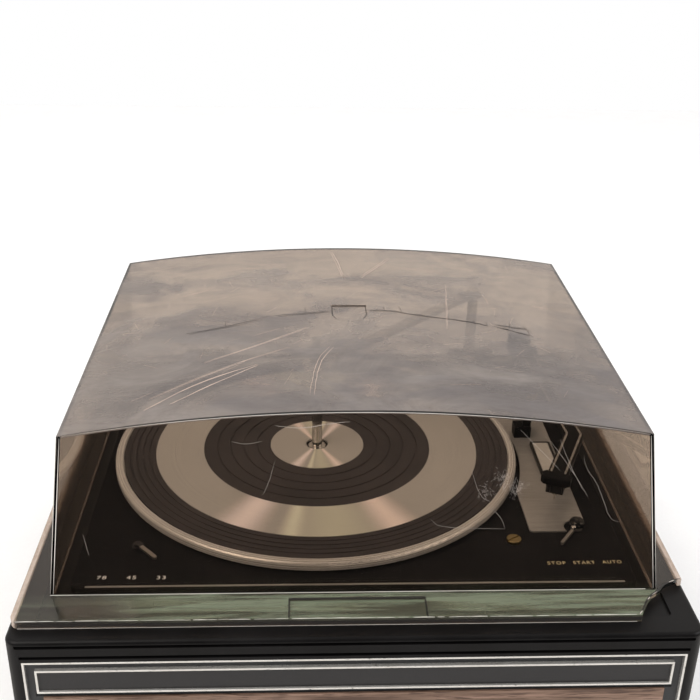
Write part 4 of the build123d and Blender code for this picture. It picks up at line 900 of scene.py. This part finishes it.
        # cracks that let no light through, and painted shade round the badge's recess
        dark = Coated("crack_dark_and_recess_shade", "#2A2523", "#4B413C", 0.5, 0.4).make()
        bm = bmesh.new()
        for mark in self.dark:
            line = [self.on_top(*p) for p in mark]
            self.top_strip(bm, self.rough_line(line, rng, 3.0, 0.35), 0.9)
            shifted = [p + Vector((2.0, -1.4, 0)) for p in line]
            self.top_strip(bm, self.rough_line(shifted, rng, 3.0, 0.35), 0.4)
            for point in line[1:]:
                angle, length = rng.uniform(0.2, 2.6), rng.uniform(4, 11)
                tip = point + Vector((math.cos(angle), math.sin(angle), 0)) * length
                self.top_strip(bm, self.rough_line([point, tip], rng, 3.0, 0.3), 0.35)
        # painted shade: a dark outline where the walls of the badge's recess meet the top
        inset = [Vector((x * self.badge_inset,
                         self.badge_y + (y - self.badge_y) * self.badge_inset,
                         self.badge_floor)) for x, y in self.badge]
        for a, b in zip(inset, inset[1:]):
            add_bar(bm, a, b, (0.5, 0.12))
        self.cap(bm)
        piece("lid_cracks_and_recess_shade", bm, dark, "lid")

    def front_marks(self) -> None:
        """Add the marks of the front wall."""
        rng = random.Random(23)
        # greyish scratches and a scuff of fine specks
        white = Coated("scratch_white", "#8F867F", "#BDB4AC", 0.5, 0.4).make()
        bm = bmesh.new()
        for mark in self.wall_marks:
            self.wall_strip(bm, self.rough_line([self.on_front(*p) for p in mark], rng, 4.0,
                                                0.15), 0.17)
        for x, z in self.scuffs:
            for _ in range(self.specks_each):
                angle, length = rng.uniform(0, math.pi), rng.uniform(0.4, 2.2)
                mid = self.on_front(x + rng.gauss(0, 2.3), z + rng.gauss(0, 2.3))
                run = Vector((math.cos(angle), self.front_slope * math.sin(angle),
                              math.sin(angle))) * length / 2
                self.wall_strip(bm, [mid - run, mid, mid + run], 0.12)
        self.wall_strip(bm, self.rough_line([self.on_front(*p) for p in self.edge_crack], rng,
                                            3.0, 0.2), 0.35)
        piece("lid_front_scratches", bm, white, "lid")

    def front_edge(self) -> list[Vector]:
        """Work out the line of the upper front edge, a little inside its rounding.

        Returns:
            The points of the line, from left to right.
        """
        inset = Vector(self.edge_tilt) * self.edge_inset
        line = []
        for k in range(self.edge_points):
            x = self.edge_half * (2 * k / (self.edge_points - 1) - 1)
            line.append(self.on_front(x, self.on_top(x, 0).z) - inset)
        return line

    def edge_and_grip_shade(self) -> None:
        """Add the painted dark line of the upper front edge and the painted shadow round the grip.
        """
        bm = bmesh.new()
        # painted shade: a dark line along the upper front edge
        add_strip(bm, self.front_edge(), self.edge_line_w, Vector(self.edge_tilt), 0.06)
        # painted shade: deep shade in the angle of a step, and the dark line of the edge
        shade = Coated("painted_grip_and_edge_shade", "#1C1B19", "#2D2C29", 0.5, 0.5).make()
        for (a, b), width in self.grip:
            add_bar(bm, Vector((*a, self.flange_z)), Vector((*b, self.flange_z)), (width, 0.08))
        self.cap(bm)
        piece("lid_painted_edge_shade", bm, shade, "lid")

    def glint_and_wear_edges(self) -> None:
        """Add the painted highlights of the front edge, of the wall's corners and foot and of the
        lip's lower edge, and the rubbed chips on top of the lip.
        """
        rng = random.Random(31)
        level = Vector((0, 0, 1))
        edge = self.front_edge()
        bm = bmesh.new()
        # painted highlights along the upper front edge, more of them towards the right
        for k in range(self.edge_points - 2):
            if rng.random() < self.glint_share + self.glints_more * (k > self.glints_more_from):
                add_strip(bm, [p + Vector((0, 0.62, 0.05)) for p in edge[k:k + 3]],
                          rng.uniform(0.15, 0.5), level, 0.03)
        # a painted pale reflection just below the dark edge line
        lower = (Vector((0, -0.75 * self.front_slope, -0.75))
                 + Vector(self.edge_tilt) * self.edge_inset)
        self.wall_strip(bm, [p + lower for p in edge], 0.3, 0.06)
        # painted highlights down the wall's two corners
        for side in (-1, 1):
            foot = self.on_front(side * self.wall_foot_x, self.flange_z + 0.5)
            head = self.on_front(side * self.wall_head_x, self.wall_head_z)
            corner = [foot.lerp(head, t / 8) for t in range(9)]
            turn = Vector((side * 0.7, -0.7, 0.1))
            add_strip(bm, [p - turn * 0.25 for p in corner], 0.4, turn, STRIP_H)
            self.wall_strip(bm, [p + Vector((-side * 1.9, 0, 0)) for p in corner], 0.45, 0.06)
        # a painted highlight along the wall's foot
        foot_y = self.front_y - 0.3
        add_bar(bm, Vector((self.foot_line[0], foot_y, self.flange_z)),
                Vector((self.foot_line[1], foot_y, self.flange_z)), (0.4, 0.16))
        # rubbed chips along the top of the lip
        x, last = self.lip_wear
        while x < last:
            run = rng.uniform(3.5, 16)
            start = Vector((x, self.lip_y + 0.5 + rng.uniform(-0.15, 0.15), self.flange_z))
            add_strip(bm, [start, start + Vector((run / 2, 0.1, 0)), start + Vector((run, 0, 0))],
                      rng.uniform(0.15, 0.6), level, STRIP_H)
            x += run + rng.uniform(-3.0, 2.5)
        # a painted highlight along the lip's lower edge
        low = self.lip_bottom + 0.2
        add_bar(bm, Vector((self.lip_line[0], self.lip_y, low)),
                Vector((self.lip_line[1], self.lip_y, low)), (0.1, 0.25))
        # painted highlights of the edges and rubbed chips of the lip, nearly white
        glint = Coated("painted_glint_and_wear", "#C9C4BE", "#F4F0EA", 0.45, 0.5).make()
        self.cap(bm)
        piece("lid_edge_glints_and_wear", bm, glint, "lid")

    def break_edge(self) -> None:
        """Add the painted dark line and the pale chips of the broken corner."""
        rng = random.Random(47)
        level = Vector((0, 0, 1))
        inward = Vector((-0.7, 0.7, 0))
        line = [Vector((x, y, self.flange_z)) for x, y in self.break_line]
        bm = bmesh.new()
        add_strip(bm, self.rough_line([p + inward * 0.7 for p in line], rng, 2.0, 0.1), 1.5,
                  level, 0.04)
        # painted shade: the broken face, dark as seen through the sheet
        dark = Coated("break_painted_shade", "#1A1816", "#332F2B", 0.4, 0.5).make()
        piece("lid_break_line", bm, dark, "lid")
        bm = bmesh.new()
        for a, b in zip(line, line[1:]):
            if rng.random() < 0.7:
                chip = [a.lerp(b, t) + inward * 0.5 + level * 0.05 for t in (0.1, 0.4, 0.7)]
                add_strip(bm, chip, rng.uniform(0.3, 0.7), level, 0.03)
        # fresh chips, which scatter the light
        pale = Coated("break_pale", "#B5ADA5", "#DED8D1", 0.4, 0.5).make()
        piece("lid_break_chips", bm, pale, "lid")

    def build(self) -> None:
        """Add every mark, painted shade and painted highlight of the lid."""
        self.scratches()
        self.front_marks()
        self.edge_and_grip_shade()
        self.glint_and_wear_edges()
        self.break_edge()

    def dress(self) -> None:
        """Finish the lid."""
        dress(SmokedAcrylic().make(), "lid")


@dataclass
class Deck(SubAssembly):
    """Near-black unit plate with bright trims, brass screws and printed words."""

    plate: Coated = Coated("deck_enamel", "#1C1B1B", "#282626", 0.45, 0.35, 0.15, 60.0,
                           specular=0.0)
    z: float = 132.0
    insert_x: tuple[float, float] = (134.3, 145.2)
    insert_y: tuple[float, float] = (-25.2, 13.2)
    insert_z: float = 134.8
    speed_h: float = 3.1
    speed_stretch: float = 1.2
    word_h: float = 2.9
    letter_w: float = 3.2
    speeds: tuple[tuple[str, float, float], ...] = (
        ("78", -149.3, -134.8), ("45", -131.8, -135.0), ("33", -114.4, -135.3))
    words: tuple[tuple[str, float, float, float], ...] = (
        ("STOP", 122.0, -125.1, 12.8), ("START", 138.9, -124.9, 15.4),
        ("AUTO", 156.1, -124.6, 11.8))

    def dress(self) -> None:
        """Finish the plate, its trims, screws and what hangs below it."""
        # flat black enamel with a faint brown cast
        dress(self.plate.make(), "unit_plate")
        # brushed aluminium under clear lacquer, with lines along X
        dress(Brushed("brushed_plate", "#BDBBB7", "#8D8A85", 0.36, 0.45, Along.X,
                      metallic=0.6).make(), "deck_trims")
        # dark border round the bright insert of the pad
        dress(Coated("pad_border", "#171414", "#282423", 0.4, 0.5).make(), "side_pad")
        # yellow brass that has gone brown in its slot
        dress(brushed("tarnished_brass", "#B5A274", "#7D6C48", Along.X, 0.36), "transit_screws",
              "hub_pinion", "deck_bushes", "motor_pulley")
        # drawn steel wire with glints along the coils
        dress(brushed("drawn_spring_wire", "#B4B6B8", "#85878A", Along.Z, 0.3),
              "suspension_springs")
        # moulded brown phenolic, faintly mottled
        dress(Coated("brown_phenolic", "#35231A", "#4A3325", 0.36, 0.8).make(), "power_switch",
              "switch_slider")

    def build(self) -> None:
        """Print the speeds and the words of the control lever, and set the pad's insert."""
        middle = sum(self.insert_y) / 2
        bm = bmesh.new()
        add_bar(bm, *(Vector((x, middle, self.insert_z)) for x in self.insert_x),
                (self.insert_y[1] - self.insert_y[0], 0.5), 0.1)
        # brushed aluminium, paler than the plate round it
        metal = Brushed("insert_metal", "#EFEBE4", "#BDB8B0", 0.36, 0.45, Along.X,
                        metallic=0.4).make()
        piece("pad_insert", bm, metal, "case")
        # opaque printing inks, matt white and pale gold
        white = Coated("ink_white", "#F4F3EF", "#FDFCFA", 0.5, 0.4).make()
        gold = Coated("ink_gold", "#DCCB9E", "#F2E6C2", 0.4, 0.4).make()
        for text, x, y in self.speeds:
            lettering(text, "mark_" + text, (x, y, self.z), self.speed_h, self.speed_stretch,
                      white, "case")
        for text, x, y, width in self.words:
            lettering(text, "word_" + text.lower(), (x, y, self.z), self.word_h,
                      width / (len(text) * self.letter_w), gold, "case")


@dataclass
class Turntable(SubAssembly):
    """Platter, mat, aluminium inlays, bearing and spindle."""

    rim: Brushed = Brushed("turned_rim", "#DFDCD7", "#AAA6A0", 0.26, 0.5, Along.RING, SPINDLE,
                           0.5, metallic=0.55)
    # the last row holds the painted highlight fans of the spun inlays
    inlay: Brushed = Brushed("spun_aluminium", "#BBB8B2", "#A5A19B", 0.32, 0.4, Along.RING,
                             SPINDLE, 0.85, 0.1, 0.35,
                             ((-99.0, 5.5, "#EFEED8"), (-84.0, 22.0, "#CFCEBB"),
                              (-117.0, 11.0, "#FFF1EE"), (-64.0, 10.0, "#FFEDE4")))
    mat: Coated = Coated("black_mat_rubber", "#2F2C2C", "#4A4444", 0.55, 0.4, 0.3,
                         specular=0.3)

    def dress(self) -> None:
        """Finish the platter and what turns with it."""
        # die-cast rim, turned and a little dulled
        dress(self.rim.make(), "platter")
        # pinkish spun aluminium with fine rings and painted highlight fans
        dress(self.inlay.make(), "mat_inlays")
        # moulded rubber with a soft, dusty sheen
        dress(self.mat.make(), "platter_mat")
        # ground steel with tight glints
        dress(brushed("ground_steel", "#EFEEEC", "#BDBBB6", Along.Z, 0.16), "main_bearing",
              "thrust_race", "centre_spindle", "spindle_pusher", "well_posts", "rotor",
              "lift_rail", "stylus", "arm_axle")
        # spring steel, blued nearly black
        dress(Coated("blued_spring_clip", "#1E1C20", "#34313A", 0.35, 0.6, 0.2, 20.0, 0.8).make(),
              "hub_clip")


@dataclass
class Drive(SubAssembly):
    """Motor, idler and cycle gear."""

    nylon: Coated = Coated("moulded_nylon", "#CFC5AC", "#DDD5C0", 0.45, 0.9)
    core: Coated = Coated("varnished_laminations", "#3B3836", "#55504B", 0.5, 0.5)

    def dress(self) -> None:
        """Finish the drive."""
        # moulded nylon, cream and waxy
        dress(self.nylon.make(), "cam_gear", "idler_wheel")
        # varnished iron sheets, dark and dull
        dress(self.core.make(), "motor_stator")
        # taped windings, varnished brown
        dress(Coated("winding_tape", "#7A4A22", "#94602F", 0.5, 0.6).make(), "motor_coils")
        # zinc plating with its yellowish passivation
        dress(brushed("passivated_zinc", "#B9AE84", "#8F8663", Along.Y, 0.4), "motor_brackets",
              "idler_sleeve", "idler_arm")
        # ground rubber tread
        dress(Coated("tyre_rubber", "#131313", "#242222", 0.65, 0.4).make(), "idler_tyre")


@dataclass(frozen=True)
class BossedLever:
    """Plated lever whose round end is blackened like the plate under it."""

    metal: Coated
    black: str = "#141212"
    pivot: Point = (-132.2, -105.2, 0.0)
    boss_r: float = 3.7
    blend: float = 0.3

    def make(self) -> bpy.types.Material:
        """Build the finish.

        Returns:
            The material.
        """
        material, tree = new_material("lever_plate_black_end")
        away = add_node(tree, "VectorMath", {"operation": "LENGTH"},
                        {0: place(tree, (1.0, 1.0, 0.0), self.pivot)})
        bright = add_node(tree, "MapRange", {}, {"Value": away.outputs["Value"],
                                                 "From Min": self.boss_r,
                                                 "From Max": self.boss_r + self.blend})
        grain = add_node(tree, "TexNoise", {}, {"Vector": place(tree), "Scale": 1 / 3,
                                                "Detail": 4.0})
        plate = add_node(tree, "Mix", {"data_type": "RGBA"},
                         {0: grain.outputs["Fac"], 6: linear(self.metal.colour),
                          7: linear(self.metal.worn)})
        colour = add_node(tree, "Mix", {"data_type": "RGBA"},
                          {0: bright.outputs["Result"], 6: linear(self.black),
                           7: plate.outputs[2]})
        shader = add_node(tree, "BsdfPrincipled", {},
                          {"Base Color": colour.outputs[2], "Roughness": self.metal.roughness,
                           "Metallic": bright.outputs["Result"]})
        out_surface(tree, shader.outputs["BSDF"])
        return material


@dataclass
class Levers(SubAssembly):
    """Speed lever and control lever with its knob."""

    dot_centre: Point = (139.2, -94.2, 136.6)
    dot_r: float = 1.6
    dot_flatness: float = 0.75
    neck_share: float = 0.8
    neck_l: float = 1.2
    neck_drop: float = 0.9
    metal: Coated = Coated("lever_plate", "#A9A49E", "#C4BFB8", 0.34, 0.5, 0.15, 12.0, 0.9)
    knob: Coated = Coated("gloss_black_knob", "#0B0B0B", "#171717", 0.14, 0.6, 0.1, 9.0)

    def dress(self) -> None:
        """Finish the two levers and the knob."""
        # nickel plating, softly worn
        dress(self.metal.make(), "control_lever")
        # the same plating, with its round end blackened
        dress(BossedLever(self.metal).make(), "speed_lever")
        # moulded plastic with a gloss
        dress(self.knob.make(), "control_knob")

    def build(self) -> None:
        """Add the chrome stud on the pointer, in front of the knob."""
        bm = bmesh.new()
        x, y, z = self.dot_centre
        add_round(bm, Vector((x, y, z - self.neck_drop)), self.dot_r * self.neck_share,
                  self.neck_l, Vector((0, 0, 1)))
        ball = bmesh.ops.create_uvsphere(bm, u_segments=32, v_segments=16,
                                         radius=self.dot_r)["verts"]
        bmesh.ops.scale(bm, vec=(1, 1, self.dot_flatness), verts=ball)
        bmesh.ops.translate(bm, vec=(x, y, z), verts=ball)
        # chromium plate, mirror-bright
        chrome = Coated("chrome_dot", "#EDEDEB", "#D9D8D5", 0.08, 0.8, 0.05, 9.0, 1.0).make()
        piece("knob_dot", bm, chrome, "control_lever", True)


@dataclass
class Tonearm(SubAssembly):
    """Bent arm with two bright stripes, its head, rest and weight."""

    pivot: tuple[float, float] = (146.0, 114.0)
    kink: tuple[float, float] = (154.8, -17.5)
    head: tuple[float, float] = (130.1, -73.3)
    top: float = 160.0
    stripe_gap: float = 9.1
    stripe_w: float = 1.3
    stripe_h: float = 0.3
    stripe_start: float = 9.0
    stripe_short: float = 6.5
    satin: Coated = Coated("arm_satin_black", "#0C0B0B", "#171616", 0.36, 0.5, 0.15,
                           specular=0.06)

    def side_line(self, side: int) -> list[Vector]:
        """Line of one stripe, from the pivot by the kink to the head.

        Args:
            side: -1 or 1, the side of the arm's middle.

        Returns:
            The three corners of the line.
        """
        pivot, kink, head = (Vector(p) for p in (self.pivot, self.kink, self.head))
        main, tip = (kink - pivot).normalized(), (head - kink).normalized()
        across_main, across_tip = Vector((-main.y, main.x)), Vector((-tip.y, tip.x))
        n = side * self.stripe_gap / 2
        mitre = (across_main + across_tip).normalized()
        bend = kink + mitre * n / mitre.dot(across_main)
        start = pivot + main * self.stripe_start + across_main * n
        end = kink + tip * ((head - kink).length - self.stripe_short) + across_tip * n
        return [Vector((p.x, p.y, self.top + self.stripe_h / 2)) for p in (start, bend, end)]

    def build(self) -> None:
        """Add the two stripes."""
        bm = bmesh.new()
        for side in (-1, 1):
            start, bend, end = self.side_line(side)
            add_bar(bm, start, bend, (self.stripe_w, self.stripe_h))
            add_bar(bm, bend, end, (self.stripe_w, self.stripe_h))
        # drawn aluminium with lines along the arm
        stripe = brushed("stripe_metal", "#D5D1CB", "#A5A19B", Along.Y, 0.28)
        piece("arm_stripes", bm, stripe, "arm")

    def dress(self) -> None:
        """Finish the arm and its mounting."""
        # satin black moulding, without a bright sheen
        dress(self.satin.make(), "tonearm", "headshell", "tonearm_base", "tonearm_yoke",
              "counterweight", "arm_rest")
        # smoother black plastic
        dress(Coated("cartridge_black", "#0E0D0D", "#1D1B1B", 0.3, 0.6).make(), "cartridge")


@dataclass
class Overarm(SubAssembly):
    """Post at the back with the arm that steadies the stack."""

    def dress(self) -> None:
        """Finish the post and the arm."""
        # both pale grey, so that they hardly show through the smoked top, as in the photo
        dress(Coated("painted_post", "#B3ADA6", "#C6C0B9", 0.45, 0.8, 0.08, 14.0).make(),
              "overarm_post")
        dress(Coated("painted_overarm", "#B0AAA3", "#C4BEB7", 0.5, 0.8, 0.1, 20.0).make(),
              "overarm")


@dataclass(frozen=True)
class Lamp:
    """Square soft lamp; its place and side are in metres, its power in watts."""

    name: str
    at: Point
    side: float
    power: float
    tint: str = "#FFFFFF"

    def light(self, aim: Point) -> None:
        """Add the lamp.

        Args:
            aim: the point it faces, in metres.
        """
        data = bpy.data.lights.new(self.name, "AREA")
        data.shape = "SQUARE"
        data.size = self.side
        data.energy = self.power
        data.color = linear(self.tint)[:3]
        obj = bpy.data.objects.new(self.name, data)
        bpy.context.scene.collection.objects.link(obj)
        turn = (Vector(aim) - Vector(self.at)).to_track_quat("-Z", "Y")
        obj.matrix_world = Matrix.Translation(self.at) @ turn.to_matrix().to_4x4()


@dataclass
class Studio:
    """Pale floor and backdrop, soft lamps and the camera of the photo."""

    lens_mm: float = 54.08
    sensor_mm: float = 36.0
    eye: Point = (-30.3, -641.0, 518.2)
    yaw: float = 2.74
    pitch: float = 25.25
    roll: float = 1.1
    floor_size: float = 2.3
    floor_ahead: float = 0.56
    floor: Coated = Coated("pale_floor", "#FAF9F8", "#FEFEFD", 0.7, 3.0, 0.02, specular=0.2)
    middle: Point = (0.0, 0.0, 0.12)
    lamps: tuple[Lamp, ...] = (Lamp("key", (-1.1, -0.9, 1.6), 1.2, 20.0, "#FFF9F2"),
                               Lamp("side", (1.4, -0.5, 1.1), 1.0, 8.0))
    front_way: float = -0.75
    front_glow: float = 0.04
    back_way: float = 0.55
    back_glow: float = 0.75

    def camera(self) -> None:
        """Place the camera as fitted to the photo."""
        yaw, pitch, roll = (math.radians(a) for a in (self.yaw, self.pitch, self.roll))
        ahead = Vector((math.sin(yaw) * math.cos(pitch), math.cos(yaw) * math.cos(pitch),
                        -math.sin(pitch)))
        level = Vector((math.cos(yaw), -math.sin(yaw), 0))
        upright = level.cross(ahead)
        right = level * math.cos(roll) + upright * math.sin(roll)
        up = upright * math.cos(roll) - level * math.sin(roll)
        data = bpy.data.cameras.new("photo_camera")
        data.lens = self.lens_mm
        data.sensor_width = self.sensor_mm
        data.clip_start = 0.01
        obj = bpy.data.objects.new("photo_camera", data)
        bpy.context.scene.collection.objects.link(obj)
        turn = Matrix((right, up, -ahead)).transposed()
        obj.matrix_world = Matrix.Translation(Vector(self.eye) * MM) @ turn.to_4x4()
        bpy.context.scene.camera = obj

    def backdrop(self) -> None:
        """Add the pale floor."""
        floor = bmesh.new()
        bmesh.ops.create_grid(floor, x_segments=2, y_segments=2, size=self.floor_size / 2)
        bmesh.ops.translate(floor, vec=(0, self.floor_size / 2 - self.floor_ahead, 0),
                            verts=floor.verts)
        mesh = bpy.data.meshes.new("floor")
        floor.to_mesh(mesh)
        floor.free()
        mesh.materials.append(self.floor.make())
        obj = bpy.data.objects.new("floor", mesh)
        bpy.context.scene.collection.objects.link(obj)

    def room(self) -> None:
        """Add the surroundings: white to the eye, and darker towards the front in mirrors."""
        world = bpy.data.worlds.new("white_room")
        world.use_nodes = True
        tree = world.node_tree
        tree.nodes.clear()
        path = add_node(tree, "LightPath")
        # light that was mirrored once, also inside the lid's wall, comes from a dim room
        bounced = add_node(tree, "Math", {"operation": "GREATER_THAN"},
                           {0: path.outputs["Glossy Depth"], 1: 0.5})
        direct = add_node(tree, "Math", {"operation": "SUBTRACT", "use_clamp": True},
                          {0: path.outputs["Is Transmission Ray"], 1: bounced.outputs[0]})
        straight = add_node(tree, "Math", {"operation": "MAXIMUM"},
                            {0: path.outputs["Is Camera Ray"], 1: direct.outputs[0]})
        shiny = add_node(tree, "Math", {"operation": "MAXIMUM"},
                         {0: path.outputs["Is Glossy Ray"], 1: bounced.outputs[0]})
        coords = add_node(tree, "TexCoord")
        way = add_node(tree, "SeparateXYZ", {}, {0: coords.outputs["Generated"]})
        depth = add_node(tree, "MapRange", {"interpolation_type": "SMOOTHSTEP"},
                         {"Value": way.outputs[1], "From Min": self.front_way,
                          "From Max": self.back_way, "To Min": self.front_glow,
                          "To Max": self.back_glow})
        white = add_node(tree, "Background", {}, {"Color": linear("#FFFFFF"), "Strength": 1.0})
        mirrored = add_node(tree, "Background", {}, {"Color": linear("#F6F1EC"),
                                                     "Strength": depth.outputs["Result"]})
        room = add_node(tree, "Background", {}, {"Color": linear("#FBFBFC"), "Strength": 1.0})
        soft = add_node(tree, "MixShader", {}, {0: shiny.outputs[0],
                                                1: room.outputs[0], 2: mirrored.outputs[0]})
        mix = add_node(tree, "MixShader", {}, {0: straight.outputs[0], 1: soft.outputs[0],
                                               2: white.outputs[0]})
        out = tree.nodes.new("ShaderNodeOutputWorld")
        tree.links.new(mix.outputs[0], out.inputs["Surface"])
        bpy.context.scene.world = world

    def build(self) -> None:
        """Set up the picture."""
        self.camera()
        self.backdrop()
        self.room()
        for lamp in self.lamps:
            lamp.light(self.middle)
        bpy.context.scene.view_settings.view_transform = "Standard"


def main() -> None:
    """Build every sub-assembly in order and log what was made."""
    logging.basicConfig(level=logging.INFO, format="%(message)s")
    groups: tuple[SubAssembly, ...] = (Plinth(), Fascia(), Lid(), Deck(), Turntable(), Drive(),
                                       Levers(), Tonearm(), Overarm())
    for group in groups:
        log.info("dressing %s", type(group).__name__)
        group.dress()
        group.build()
    Studio().build()
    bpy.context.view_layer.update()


if __name__ == "__main__":
    main()
